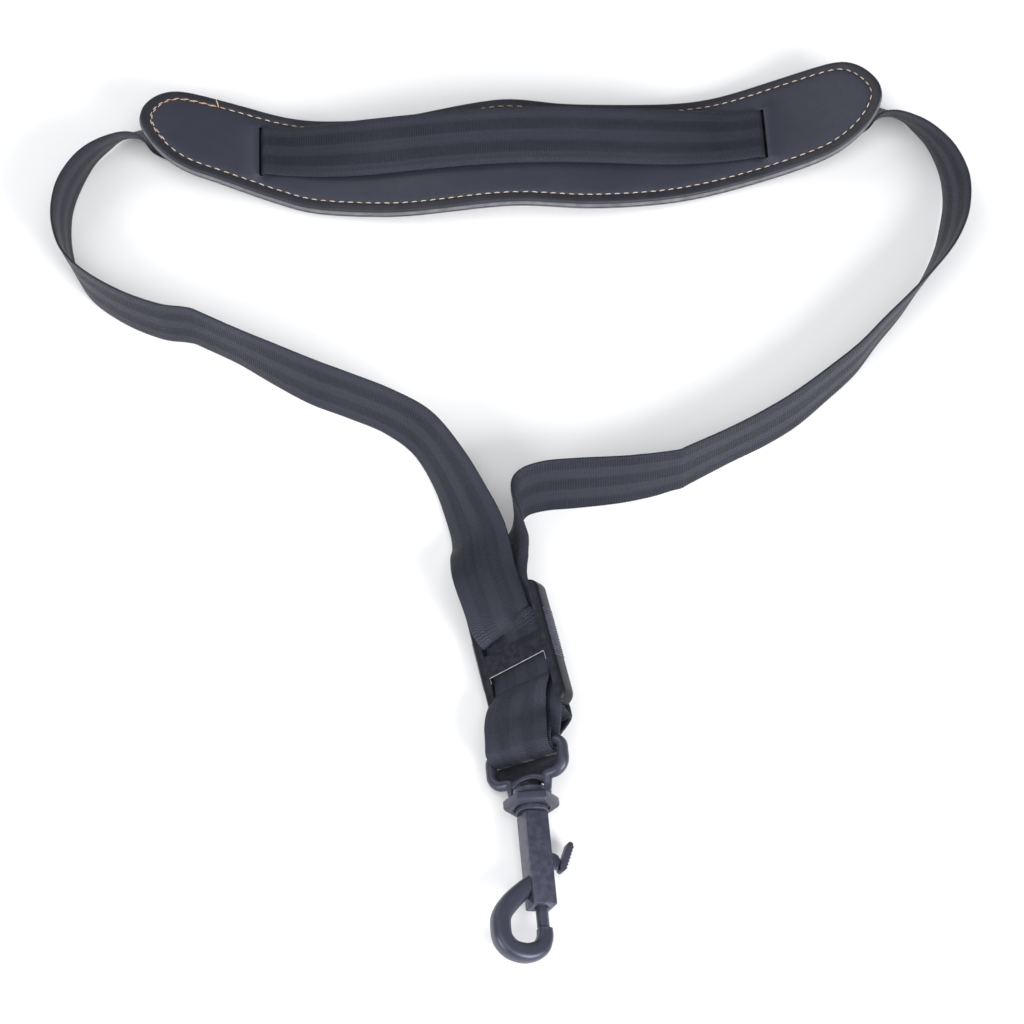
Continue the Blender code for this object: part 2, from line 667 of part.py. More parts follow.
def build_hook(plastic, steel):
    low, high = (-BARREL_HALF, BARREL_END, -BARREL_HALF), (BARREL_HALF, BARREL_START, BARREL_HALF)
    hook = box("hook_body", low, high, plastic, HOOK_FRAME)
    round_edges(hook, 1.0)
    stations = smooth_curve(HOOK_ARM, 3)
    points = []
    sides = 12
    for i, (x, y, half_w, half_d) in enumerate(stations):
        x0, y0 = stations[max(i - 1, 0)][:2]
        x1, y1 = stations[min(i + 1, len(stations) - 1)][:2]
        length = math.hypot(x1 - x0, y1 - y0)
        nx, ny = -(y1 - y0) / length, (x1 - x0) / length
        for j in range(sides):
            angle = 2 * math.pi * (j + 0.5) / sides
            c, s = math.cos(angle), math.sin(angle)
            swell = 1 / max(abs(c) ** 3 + abs(s) ** 3, 1e-9) ** (1 / 3)
            points.append((x + nx * c * swell * half_w, y + ny * c * swell * half_w, s * swell * half_d))
    arm = add_object("hook_arm", points, rings_to_faces(len(stations), sides), plastic, HOOK_FRAME)
    cut(hook, arm, "UNION")
    cut(hook, turned("hook_bore", [(BORE_TOP, BORE_RADIUS), (BARREL_END - 8.2, BORE_RADIUS)], plastic, HOOK_FRAME))
    cut(hook, turned("hook_shank_bore", [(BARREL_START + 1, 2.4), (SHANK_END - GAP, 2.4)], plastic, HOOK_FRAME, 20))
    slot_top = LEVER_TOP + BOLT_TRAVEL + 0.6
    low, high = (0.5, LEVER_END - 0.6, -SLOT_HALF), (BARREL_HALF + 1, slot_top, SLOT_HALF)
    cut(hook, box("hook_lever_slot", low, high, plastic, HOOK_FRAME))

    turned("hook_bolt", [(BOLT_TOP, BOLT_RADIUS), (BOLT_TIP, BOLT_RADIUS)], plastic, HOOK_FRAME)
    stalk = BOLT_RADIUS + 0.3
    knob = [(9.0, -47.6), (12.2, -46.0), (14.2, -39.0), (13.6, -36.2), (11.6, -35.6), (9.6, -38.0)]
    outline = [(stalk, LEVER_TOP), (6.6, LEVER_TOP), *reversed(knob), (6.4, LEVER_END), (stalk, LEVER_END)]
    half = LEVER_THICK / 2
    points = [(x, y, z) for z in (-half, half) for x, y in outline]
    add_object("thumb_lever", points, rings_to_faces(2, len(outline)), plastic, HOOK_FRAME)
    steps = 14
    high, low = BORE_TOP - GAP - SPRING_WIRE, BOLT_TOP + GAP + SPRING_WIRE
    coil = []
    for k in range(int(SPRING_TURNS * steps) + 1):
        angle = 2 * math.pi * k / steps
        y = high + (low - high) * k / (SPRING_TURNS * steps)
        coil.append((SPRING_RADIUS * math.cos(angle), y, SPRING_RADIUS * math.sin(angle)))
    tube("bolt_spring", coil, SPRING_WIRE, steel, HOOK_FRAME, 5)


def main():
    for old in list(bpy.data.objects):
        bpy.data.objects.remove(old, do_unlink=True)
    leather = material("leather", (0.012, 0.014, 0.02), 0.5)
    foam = material("foam", (0.05, 0.05, 0.055), 0.95)
    lining = material("lining", (0.16, 0.17, 0.19), 0.9)
    thread = material("thread", (0.62, 0.3, 0.1), 0.7)
    webbing = material("webbing", (0.015, 0.015, 0.018), 0.6)
    plastic = material("plastic", (0.03, 0.032, 0.04), 0.45)
    steel = material("steel", (0.5, 0.5, 0.52), 0.3, 1.0)
    pad_top = build_pad(leather, foam, lining, thread)
    build_webbing(webbing, pad_top)
    build_loops(webbing)
    build_slider(plastic)
    build_eye(plastic)
    build_collar(plastic)
    build_hook(plastic, steel)


main()
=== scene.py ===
"""Looks of a saxophone neck strap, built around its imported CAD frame.

Design sizes are in millimetres, in the same frames as the CAD source, and are turned into metres
where a mesh is made. +X runs across the webbing, +Y up the strap and +Z out of the front face.
"""

import math
import random

import bmesh
import bpy
from mathutils import Matrix, Vector
from mathutils.geometry import delaunay_2d_cdt


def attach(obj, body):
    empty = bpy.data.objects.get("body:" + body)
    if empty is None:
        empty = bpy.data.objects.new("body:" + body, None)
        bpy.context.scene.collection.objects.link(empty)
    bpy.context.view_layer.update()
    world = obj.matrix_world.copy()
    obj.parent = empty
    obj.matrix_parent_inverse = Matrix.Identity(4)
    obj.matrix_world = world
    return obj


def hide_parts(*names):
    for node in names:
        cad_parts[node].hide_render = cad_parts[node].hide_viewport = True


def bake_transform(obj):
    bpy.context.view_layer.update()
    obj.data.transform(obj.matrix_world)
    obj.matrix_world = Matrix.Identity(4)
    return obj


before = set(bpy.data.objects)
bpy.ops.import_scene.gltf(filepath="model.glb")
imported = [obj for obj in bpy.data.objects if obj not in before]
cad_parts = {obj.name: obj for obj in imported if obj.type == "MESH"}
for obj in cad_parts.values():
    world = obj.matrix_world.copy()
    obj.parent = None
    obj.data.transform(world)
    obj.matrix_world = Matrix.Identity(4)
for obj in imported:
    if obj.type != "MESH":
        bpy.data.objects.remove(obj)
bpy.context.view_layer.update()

MM = 0.001
ORIGIN_SHIFT = (0.0, -9.76, 0.21)
UP = Vector((0.0, 0.0, 1.0))

# Camera, 1.2 m from the strap's middle and 60 degrees over the table
CAMERA_AT = (0.0, -600.0, 1039.23)
CAMERA_LENS = 105.0
SENSOR_WIDTH = 36.0

# Sizes repeated from the CAD source
PAD_CENTRE = (-0.6, 199.7)
PAD_TURN = 2.5
PAD_BASE = 1.6
PAD_ARCH = 7.0
PAD_ARCH_HALF = 95.0
PAD_END_LIFT = 18.5
PAD_LIFT_FROM = 80.0
SLOT_AT = 108.0
SLOT_HALF = (0.8, 13.0)
SLOT_RINGS = (0.0, 0.6, 1.5, 3.0)  # how far each ring of points round a slot is from its edge
RUN_MID = -22.0
RUN_EDGE = -34.8
RUN_EDGE_DROP = 3.0
RUN_TILT = 18.0
RUN_REST = 7.6  # height of the run's lower edge over the pad's underside
RUN_LIFT = 1.2  # more of it where the run is tilted
RUN_TILT_FROM = 104.0  # place along the pad where the tilt starts, and the length it builds up over
RUN_TILT_OVER = 45.0
SLIDER_AT = (2.9, -71.9, 13.0)
SLIDER_TURN = 13.0
SLIDER_ROLL = 34.0
SLIDER_HALF = (17.0, 27.0)
SLIDER_CORNER = 4.6
GRIP_RIBS = 19
GRIP_TOP = 12.4
GRIP_PITCH = 1.12
SLIDER_BACK, SLIDER_FRONT = -3.6, 4.1
LAYER_BACK, LAYER_FRONT = 0.55, 1.85
EYE_AT = (5.4, -112.4, 11.0)
EYE_TURN = 5.2
EYE_PITCH = 3.4
EYE_ROLL = 29.0
HOOK_ROLL = -20.0
CROSSBAR_Y = 2.0
OUTER_WRAP = 4.3  # radii of the front and back layers round the eye's crossbar
INNER_WRAP = 3.0

# Layers of the pad over its underside
LINING_TOP = 0.9
FOAM_TOP = 3.6
LEATHER_TOP = 4.8
LIP_REACH = 9.0  # the leather's lips at the slots: how far they reach, their step, and the low side
LIP_STEP = 1.85
LIP_SINK = 0.35
PUCKER = 0.1
RIM_WIDTH = 3.2  # the rim's darker leather, and the width it fades over
RIM_FADE = 2.0
STITCH_INSET = 4.2
STITCH_PITCH = 3.8
STITCH_STEP = 0.325  # spacing of the places that a stitch is drawn through
STITCH_PLACES = 8
STITCH_RADIUS = 0.22
STITCH_LIFT = 0.2
STITCH_SINK = 0.14
THREAD_SIDES = 8
SECOND_ROW = 12  # stitches sewn again where the thread starts
TAIL_AT = (-126.0, 2.0)  # place of the thread's loose end, in the pad's plane

# Webbing
UNDER_PAD = 5.6  # height at which the run ends in each slot and the strands begin
CORD_STEP = 2.0  # spacing of the places that give a strand's centreline
WEB_HALF = 12.5
WEB_HALF_THICK = 0.54
RIB_PITCH = 1.0
RIB_DEPTH = 0.2
BAND_RECESS = 0.07
SELVEDGE_NOTCH = 0.12
SELVEDGE_UP = 0.22
SELVEDGE_AT = 12.0
# Weave in radians per millimetre: twill and picks along the strap, cords across it
TWILL_RATE = 9.0
PICK_RATE = 12.566
CORD_RATE = 13.0
TWILL_TURN = 1.25  # width of one leg of the twill's zigzag, and its slant
TWILL_SLANT = 2.4


def axes(at, turn=0.0, pitch=0.0, roll=0.0):
    """A frame in millimetres: turned about Z, pitched about X, its right side raised by roll."""
    spin = Matrix.Rotation(math.radians(turn), 4, "Z") @ Matrix.Rotation(math.radians(pitch), 4, "X")
    return Matrix.Translation(at) @ spin @ Matrix.Rotation(math.radians(-roll), 4, "Y")


TABLE = Matrix.Identity(4)
PAD = axes((*PAD_CENTRE, 0.0), PAD_TURN)
SLIDER = axes(SLIDER_AT, SLIDER_TURN, 0.0, SLIDER_ROLL)
EYE = axes(EYE_AT, EYE_TURN, EYE_PITCH, EYE_ROLL)
HOOK = axes(EYE_AT, EYE_TURN, EYE_PITCH, HOOK_ROLL)


def placed(local, point):
    """A point of a local frame in millimetres as a place in metres."""
    return (local @ Vector(point) + Vector(ORIGIN_SHIFT)) * MM


# ---------- camera


def add_object(name, data):
    made = bpy.data.objects.new(name, data)
    bpy.context.scene.collection.objects.link(made)
    return made


def aim(thing, at, target):
    """Put a camera or lamp at a place in metres and turn it towards another."""
    thing.location = at
    thing.rotation_euler = (target - thing.location).to_track_quat("-Z", "Y").to_euler()


def build_camera():
    data = bpy.data.cameras.new("camera")
    data.lens = CAMERA_LENS
    data.sensor_width = SENSOR_WIDTH
    camera = add_object("camera", data)
    aim(camera, placed(TABLE, CAMERA_AT), placed(TABLE, (0.0, 0.0, 0.0)))
    bpy.context.scene.camera = camera


build_camera()


# ---------- meshes


def clamp(value):
    return min(max(value, 0.0), 1.0)


def circle(sides, offset=0.0):
    """Cosines and sines of evenly spaced angles."""
    angles = [2 * math.pi * (j + offset) / sides for j in range(sides)]
    return [(math.cos(angle), math.sin(angle)) for angle in angles]


def heading(places, i, closed=False):
    """A line's direction at one of its places."""
    if closed:
        return (places[(i + 1) % len(places)] - places[i - 1]).normalized()
    return (places[min(i + 1, len(places) - 1)] - places[max(i - 1, 0)]).normalized()


def moved(faces, start):
    """Faces whose points are numbered from start."""
    return [tuple(i + start for i in face) for face in faces]


def add_piece(name, points, faces, local=TABLE, sharp=40.0, values=None):
    """A mesh piece from points in millimetres; values are named point attributes."""
    mesh = bpy.data.meshes.new(name)
    mesh.from_pydata([placed(local, p) for p in points], [], faces)
    for key, numbers in (values or {}).items():
        kind = "FLOAT_VECTOR" if isinstance(numbers[0], tuple) else "FLOAT"
        layer = mesh.attributes.new(key, kind, "POINT")
        flat = [x for n in numbers for x in n] if kind == "FLOAT_VECTOR" else numbers
        layer.data.foreach_set("vector" if kind == "FLOAT_VECTOR" else "value", flat)
    work = bmesh.new()
    work.from_mesh(mesh)
    bmesh.ops.recalc_face_normals(work, faces=work.faces)
    work.to_mesh(mesh)
    work.free()
    mesh.shade_smooth()
    mesh.set_sharp_from_angle(angle=math.radians(sharp))
    return add_object(name, mesh)


def skin(count, sides, closed=False):
    """Side faces between rings of points, and end caps on an open run."""
    faces = []
    for i in range(count if closed else count - 1):
        a, b = i * sides, ((i + 1) % count) * sides
        faces += [(a + j, a + (j + 1) % sides, b + (j + 1) % sides, b + j) for j in range(sides)]
    if not closed:
        faces.append(tuple(range(sides)))
        faces.append(tuple((count - 1) * sides + j for j in reversed(range(sides))))
    return faces


def finish_piece(made, body, paint, replaced=()):
    made.data.materials.clear()
    made.data.materials.append(paint)
    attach(made, body)
    if replaced:
        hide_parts(*replaced)
    return made


def turned(name, profile, local, sides=64, sharp=40.0):
    """A closed turned piece on the frame's Y axis from (y, radius) points."""
    points = [(radius * c, y, radius * s) for y, radius in profile for c, s in circle(sides)]
    return add_piece(name, points, skin(len(profile), sides), local, sharp)


def block(name, low, high, local):
    points = [(x, y, z) for x in (low[0], high[0]) for y in (low[1], high[1]) for z in (low[2], high[2])]
    faces = [(0, 1, 3, 2), (4, 6, 7, 5), (0, 4, 5, 1), (2, 3, 7, 6), (0, 2, 6, 4), (1, 5, 7, 3)]
    return add_piece(name, points, faces, local)


def extruded(name, outline, low, high, local, sharp=40.0):
    points = [(x, y, z) for z in (low, high) for x, y in outline]
    return add_piece(name, points, skin(2, len(outline)), local, sharp)


def bar(name, path, radius, local, sides=20, closed=False):
    """A round bar along points of a frame, at most a little steeper than its XY plane."""
    places = [Vector(p) for p in path]
    points = []
    for i, here in enumerate(places):
        ahead = heading(places, i, closed)
        side = ahead.cross(UP).normalized()
        rise = side.cross(ahead)
        points += [here + (side * c + rise * s) * radius for c, s in circle(sides)]
    return add_piece(name, points, skin(len(places), sides, closed), local)


def soften(target, width, segments=3, angle=40.0):
    change = target.modifiers.new("soften", "BEVEL")
    change.width = width * MM
    change.segments = segments
    change.limit_method = "ANGLE"
    change.angle_limit = math.radians(angle)


def carve(target, tool, operation="DIFFERENCE"):
    change = target.modifiers.new(tool.name, "BOOLEAN")
    change.operation = operation
    change.object = tool
    change.solver = "EXACT"


def settle(target, sharp=35.0):
    """Apply a piece's modifiers and delete the tools they used."""
    tools = [m.object for m in target.modifiers if m.type == "BOOLEAN"]
    bpy.context.view_layer.update()
    shape = bpy.data.meshes.new_from_object(target.evaluated_get(bpy.context.evaluated_depsgraph_get()))
    target.modifiers.clear()
    target.data = shape
    for tool in tools:
        bpy.data.objects.remove(tool, do_unlink=True)
    shape.shade_smooth()
    shape.set_sharp_from_angle(angle=math.radians(sharp))
    return target


def arc(centre, radius, start, end, steps):
    """Points of an arc in a plane, angles in degrees."""
    out = []
    for k in range(steps + 1):
        angle = math.radians(start + (end - start) * k / steps)
        out.append((centre[0] + radius * math.cos(angle), centre[1] + radius * math.sin(angle)))
    return out


def catmull_rom(a, b, c, d, t):
    """The value at share t between b and c, on a smooth curve through all four."""
    return 0.5 * (2 * b + (c - a) * t + (2 * a - 5 * b + 4 * c - d) * t**2 + (3 * b - a - 3 * c + d) * t**3)


def round_box(half_w, half_l, corner, steps):
    """The outline of a rectangle with round corners, counter-clockwise."""
    out = []
    for x, y, start in ((1, 1, 0), (-1, 1, 90), (-1, -1, 180), (1, -1, 270)):
        out += arc((x * (half_w - corner), y * (half_l - corner)), corner, start, start + 90, steps)
    return out


def smooth_curve(route, steps):
    """Points of a smooth curve through a route of equal-length tuples."""
    ends = [[2 * a - b for a, b in zip(route[0], route[1])]]
    ends += [list(p) for p in route]
    ends += [[2 * a - b for a, b in zip(route[-1], route[-2])]]
    out = []
    for i in range(1, len(ends) - 2):
        near = list(zip(*ends[i - 1 : i + 3]))
        out += [[catmull_rom(*values, k / steps) for values in near] for k in range(steps)]
    out.append(list(ends[-2]))
    return out


def between(table, at):
    """A value from a table of (place, value) rows, held constant beyond its ends."""
    if at <= table[0][0]:
        return table[0][1]
    for (a, low), (b, high) in zip(table, table[1:]):
        if at <= b:
            return low + (high - low) * (at - a) / (b - a)
    return table[-1][1]


# ---------- materials


class Paint:
    """A material's node tree, with short calls to add and join nodes."""

    def __init__(self, name, roughness, metallic=0.0, specular=0.5):
        self.material = bpy.data.materials.new(name)
        self.material.use_nodes = True
        self.tree = self.material.node_tree
        self.shader = self.tree.nodes["Principled BSDF"]
        self.shader.inputs["Roughness"].default_value = roughness
        self.shader.inputs["Metallic"].default_value = metallic
        self.shader.inputs["Specular IOR Level"].default_value = specular
        self.place = self.add("ShaderNodeTexCoord").outputs["Object"]

    def add(self, kind, settings=None, **inputs):
        node = self.tree.nodes.new(kind)
        for key, value in (settings or {}).items():
            setattr(node, key, value)
        for key, value in inputs.items():
            self.put(value, node.inputs[int(key[1:]) if key[1:].isdigit() else key.replace("_", " ")])
        return node

    def put(self, value, socket):
        if isinstance(value, bpy.types.NodeSocket):
            self.tree.links.new(value, socket)
        else:
            socket.default_value = value

    def math(self, operation, a, b=0.0):
        return self.add("ShaderNodeMath", {"operation": operation}, i0=a, i1=b).outputs[0]

    def texture(self, kind, settings=None, **inputs):
        return self.add(kind, settings, Vector=self.place, **inputs).outputs

    def noise(self, scale, detail=3.0):
        return self.texture("ShaderNodeTexNoise", Scale=scale, Detail=detail, Roughness=0.55)["Fac"]

    def cells(self, scale):
        return self.texture("ShaderNodeTexVoronoi", Scale=scale)["Distance"]

    def waves(self, direction, scale, distortion=0.0):
        settings = {"wave_type": "BANDS", "bands_direction": direction}
        return self.texture("ShaderNodeTexWave", settings, Scale=scale, Distortion=distortion)["Fac"]

    def spread(self, value, low, high, to_low=0.0, to_high=1.0):
        made = self.add("ShaderNodeMapRange", None, Value=value)
        for key, number in (("From Min", low), ("From Max", high), ("To Min", to_low), ("To Max", to_high)):
            made.inputs[key].default_value = number
        return made.outputs[0]

    def mix(self, share, first, second):
        made = self.add("ShaderNodeMix", {"data_type": "RGBA"}, i0=share)
        for socket, value in ((made.inputs[6], first), (made.inputs[7], second)):
            self.put((*value, 1.0) if isinstance(value, tuple) else value, socket)
        return made.outputs[2]

    def attribute(self, name):
        return self.add("ShaderNodeAttribute", {"attribute_name": name})

    def bump(self, height, distance, strength=1.0, under=None):
        made = self.add("ShaderNodeBump", None, Height=height, Distance=distance, Strength=strength)
        if under is not None:
            self.put(under, made.inputs["Normal"])
        return made.outputs[0]

    def dress(self, colour=None, roughness=None, normal=None, **others):
        for key, value in (("Base Color", colour), ("Roughness", roughness), ("Normal", normal)):
            if value is not None:
                self.put((*value, 1.0) if isinstance(value, tuple) else value, self.shader.inputs[key])
        for key, value in others.items():
            self.put(value, self.shader.inputs[key.replace("_", " ")])
        return self.material


NAVY_GLOSS = (0.72, 0.78, 1.0, 1.0)


def leather_paint():
    p = Paint("strap_leather", 0.5, specular=0.4)
    cloud = p.noise(38.0, 4.0)
    grain = p.cells(1500.0)
    fine = p.noise(3800.0, 2.0)
    edge = p.attribute("edge").outputs["Fac"]
    face = p.mix(p.spread(cloud, 0.3, 0.7), (0.0185, 0.0200, 0.0330), (0.0240, 0.0260, 0.0410))
    rim = p.mix(p.spread(p.noise(120.0), 0.35, 0.7), (0.0110, 0.0110, 0.0180), (0.0170, 0.0165, 0.0250))
    colour = p.mix(edge, face, rim)
    rough = p.spread(p.noise(260.0, 3.0), 0.3, 0.7, 0.46, 0.6)
    height = p.math("ADD", p.math("MULTIPLY", grain, 0.7), p.math("MULTIPLY", fine, 0.3))
    normal = p.bump(height, 0.00008, 0.55, p.bump(cloud, 0.0006, 0.25))
    return p.dress(colour, rough, normal)


def foam_paint():
    p = Paint("pad_foam", 0.9, specular=0.25)
    pores = p.cells(2600.0)
    streak = p.noise(240.0, 4.0)
    colour = p.mix(p.spread(streak, 0.3, 0.7), (0.10, 0.10, 0.115), (0.16, 0.16, 0.18))
    # Darker at the pores: painted shade in the foam's holes.
    colour = p.mix(p.spread(pores, 0.0, 0.4, 0.5, 0.0), colour, (0.05, 0.05, 0.06))
    return p.dress(colour, normal=p.bump(pores, 0.00015, 0.8))


def lining_paint():
    p = Paint("pad_lining_knit", 0.85, specular=0.25)
    knit = p.math("MULTIPLY", p.waves("X", 420.0, 0.6), p.waves("Y", 300.0, 0.6))
    colour = p.mix(p.spread(knit, 0.1, 0.7), (0.055, 0.055, 0.065), (0.15, 0.15, 0.175))
    return p.dress(colour, normal=p.bump(knit, 0.0002, 0.8), Sheen_Weight=0.3)


def thread_paint():
    p = Paint("thread_tan", 0.6)
    light, dark = (0.50, 0.44, 0.37), (0.46, 0.26, 0.15)
    twist = p.waves("DIAGONAL", 900.0)
    colour = p.mix(p.attribute("tone").outputs["Fac"], light, dark)
    # Darker in the twist's grooves: painted shade between the plies.
    colour = p.mix(p.spread(twist, 0.0, 0.5, 0.45, 0.0), colour, tuple(c * 0.4 for c in dark))
    return p.dress(colour, normal=p.bump(twist, 0.00012, 0.7), Sheen_Weight=0.2)


def webbing_paint():
    """Ribbed nylon: weave holds the place across and along the strap in millimetres, and the face."""
    p = Paint("webbing_nylon", 0.5, specular=0.3)
    weave = p.attribute("weave").outputs["Vector"]
    across, along, rib = p.add("ShaderNodeSeparateXYZ", None, Vector=weave).outputs
    turn = p.math("MULTIPLY", p.math("PINGPONG", across, TWILL_TURN), TWILL_SLANT)
    twill = p.math("SINE", p.math("ADD", p.math("MULTIPLY", along, TWILL_RATE), turn))
    cord = p.math("SINE", p.math("MULTIPLY", across, CORD_RATE))
    pick = p.math("SINE", p.math("MULTIPLY", along, PICK_RATE))
    smooth = p.math("ADD", p.math("MULTIPLY", twill, 0.7), p.math("MULTIPLY", cord, 0.3))
    ribbed = p.math("ADD", p.math("MULTIPLY", cord, 0.3), p.math("MULTIPLY", pick, 0.5))
    share = p.spread(rib, 0.2, 0.8)
    height = p.add("ShaderNodeMix", {"data_type": "FLOAT"}, i0=share, i2=smooth, i3=ribbed).outputs[0]
    fuzz = p.noise(2200.0, 2.0)
    patch = p.noise(60.0, 3.0)
    band = p.mix(share, (0.0275, 0.0285, 0.0405), (0.0215, 0.0222, 0.0320))
    # Near-black where the weave's height is low: painted shade in the weave's hollows.
    band = p.mix(p.spread(height, -0.7, 0.5, 0.85, 0.0), band, (0.0035, 0.0036, 0.0055))
    # Near-black in the rib valleys: painted shade in the grooves between ribs.
    valley = p.attribute("valley").outputs["Fac"]
    colour = p.mix(p.math("MULTIPLY", valley, 0.85), band, (0.004, 0.004, 0.005))
    colour = p.mix(p.spread(patch, 0.35, 0.75, 0.0, 0.15), colour, (0.036, 0.038, 0.053))
    rough = p.spread(fuzz, 0.3, 0.7, 0.34, 0.52)
    normal = p.bump(height, 0.00010, 0.9, p.bump(fuzz, 0.00004, 0.5))
    return p.dress(colour, rough, normal, Specular_Tint=NAVY_GLOSS)


def plastic_paint(name, dark, light, rough, specular=0.5):
    p = Paint(name, rough, specular=specular)
    grit = p.noise(5200.0, 2.0)
    cloud = p.noise(160.0, 3.0)
    wear = p.spread(p.add("ShaderNodeNewGeometry").outputs["Pointiness"], 0.53, 0.62)
    scuff = p.math("MULTIPLY", wear, p.spread(p.noise(420.0, 4.0), 0.42, 0.62))
    colour = p.mix(p.spread(cloud, 0.3, 0.7), dark, light)
    colour = p.mix(p.math("MULTIPLY", scuff, 0.5), colour, tuple(min(1.0, c * 3.2) for c in light))
    roughness = p.spread(p.noise(900.0, 3.0), 0.3, 0.7, rough - 0.02, rough + 0.04)
    normal = p.bump(grit, 0.00005, 0.5)
    return p.dress(colour, roughness, normal, Specular_Tint=NAVY_GLOSS)


def steel_paint():
    p = Paint("spring_steel", 0.3, metallic=1.0)
    streak = p.noise(1800.0, 3.0)
    colour = p.mix(streak, (0.42, 0.42, 0.44), (0.62, 0.62, 0.64))
    return p.dress(colour, p.spread(streak, 0.3, 0.7, 0.24, 0.4), p.bump(streak, 0.00003, 0.4))


LEATHER = leather_paint()
FOAM = foam_paint()
LINING = lining_paint()
THREAD = thread_paint()
WEBBING = webbing_paint()
PLASTIC = plastic_paint("moulded_plastic", (0.0255, 0.0260, 0.0390), (0.0285, 0.0290, 0.0430), 0.33)
SLIDER_PLASTIC = plastic_paint(
    "slider_plastic", (0.0060, 0.0060, 0.0080), (0.0075, 0.0075, 0.0098), 0.36, 0.24
)
# Light grey plastic of the thin bar along the slider's centre bar: a painted highlight on that edge.
EDGE_HIGHLIGHT = plastic_paint("painted_highlight_plastic", (0.16, 0.16, 0.165), (0.34, 0.34, 0.35), 0.5)
STEEL = steel_paint()


# ---------- webbing

# Stations (x, y, z, lean) of both strands; lean is the top edge's tilt to the left of travel.
LEFT_ROUTE = [
    (-128.0, 176.0, 2.8, 81.0),
    (-146.0, 179.0, 5.6, 67.0),
    (-157.5, 180.5, 8.4, 52.0),
    (-167.0, 178.0, 11.6, 30.0),
    (-176.0, 171.5, 12.4, 17.0),
    (-183.5, 161.5, 12.6, 3.0),
    (-188.5, 149.0, 12.5, -6.0),
    (-189.8, 137.0, 12.4, -11.0),
    (-188.5, 125.0, 12.2, -13.0),
    (-184.0, 112.0, 12.3, -11.0),
    (-175.0, 100.5, 12.5, -4.0),
    (-160.0, 90.0, 12.6, 0.0),
    (-145.0, 83.5, 12.6, 2.0),
    (-135.1, 81.9, 12.6, 2.0),
    (-131.1, 81.0, 12.6, 2.0),
    (-127.5, 79.2, 12.6, 2.0),
    (-112.0, 71.0, 12.6, 3.0),
    (-96.0, 62.0, 12.4, 10.0),
    (-81.0, 54.0, 12.2, 15.0),
    (-66.0, 47.5, 12.2, 15.0),
    (-50.0, 40.0, 12.2, 16.0),
    (-36.0, 30.0, 11.6, 23.0),
    (-25.5, 14.0, 10.9, 31.0),
    (-17.4, -5.0, 11.2, 44.0),
    (-13.6, -17.5, 13.0, 57.0),
    (-12.4, -28.0, 15.8, 74.0),
    (-10.9, -38.0, 18.0, 84.0),
    (-7.3, -49.6, 18.6, 80.0),
    (-4.3, -58.6, 17.8, 72.0),
]
RIGHT_ROUTE = [
    (129.0, 187.5, 2.8, -81.0),
    (146.0, 191.5, 5.6, -67.0),
    (157.5, 192.5, 8.4, -52.0),
    (167.0, 189.0, 11.6, -29.0),
    (175.5, 182.0, 12.4, -16.0),
    (181.5, 173.5, 12.6, -4.0),
    (186.0, 163.0, 12.5, 8.0),
    (188.0, 150.0, 12.2, 19.0),
    (186.5, 137.0, 11.8, 24.0),
    (183.0, 125.0, 11.8, 23.0),
    (176.5, 112.0, 12.1, 19.0),
    (165.0, 95.0, 12.4, 11.0),
    (152.0, 79.0, 12.6, 6.0),
    (141.0, 65.0, 12.7, 1.0),
    (128.0, 52.5, 12.7, -2.0),
    (115.0, 41.0, 12.7, -5.0),
    (102.0, 32.0, 12.7, -5.0),
    (88.0, 24.0, 12.7, -4.0),
    (71.1, 14.7, 12.6, -7.0),
    (67.6, 12.7, 12.6, -8.0),
    (63.6, 11.7, 12.6, -9.0),
    (56.0, 9.9, 12.5, -13.0),
    (43.0, 8.0, 12.0, -18.0),
    (27.0, 6.5, 12.0, -22.0),
    (13.0, 5.0, 12.1, -22.0),
    (4.5, 1.5, 12.4, -18.0),
    (1.5, -5.0, 12.8, -8.0),
    (1.0, -13.0, 12.7, 10.0),
    (-0.6, -21.0, 12.0, 36.0),
    (-3.0, -28.5, 12.0, 50.0),
    (-4.4, -35.5, 12.6, 55.0),
]
# The front layer from the slider's centre bar to the eye's crossbar: (x, y, z, roll) in the slider's
# frame, then (place, turn, roll), then (angle round the crossbar, extra radius, turn, roll)
LOOP_START = [(-0.2, -12.9, 2.85, 31.6), (-0.5, -15.5, 4.5, 28.0), (-2.8, -19.5, 5.8, 21.0)]
LOOP_FRONT = [((1.2, -98.7, 16.0), 14.0, 15.0), ((1.4, -105.5, 17.2), 14.0, 16.0)]
LOOP_FOLD = [
    (90.0, 2.8, 12.0, 18.0),
    (105.0, 2.6, 11.0, 21.0),
    (120.0, 2.0, 9.0, 24.0),
    (135.0, 1.3, 7.0, 27.0),
    (150.0, 0.7, 5.6, 28.5),
    (170.0, 0.2, 5.2, 29.0),
]
# The run's way down through a slot: (place along the pad, height over its underside)
SLOT_PATH = [(104.6, 9.9), (106.4, 9.75), (107.5, 8.6), (107.9, 6.8)]
SLOT_PATH += [(107.95, 4.8), (108.5, 3.1), (111.0, 2.1), (117.0, 2.0)]


def pad_rise(u):
    """Height of the pad's arched middle and raised ends over its lowest places."""
    arch = PAD_ARCH * 0.5 * (1 + math.cos(math.pi * u / PAD_ARCH_HALF)) if abs(u) < PAD_ARCH_HALF else 0.0
    return arch + PAD_END_LIFT * (max(abs(u) - PAD_LIFT_FROM, 0.0) / PAD_LIFT_FROM) ** 2


def in_slider(y, z, x=0.0, lean=90.0 - SLIDER_ROLL):
    at = SLIDER @ Vector((x, y, z))
    return (at.x, at.y, at.z, lean)


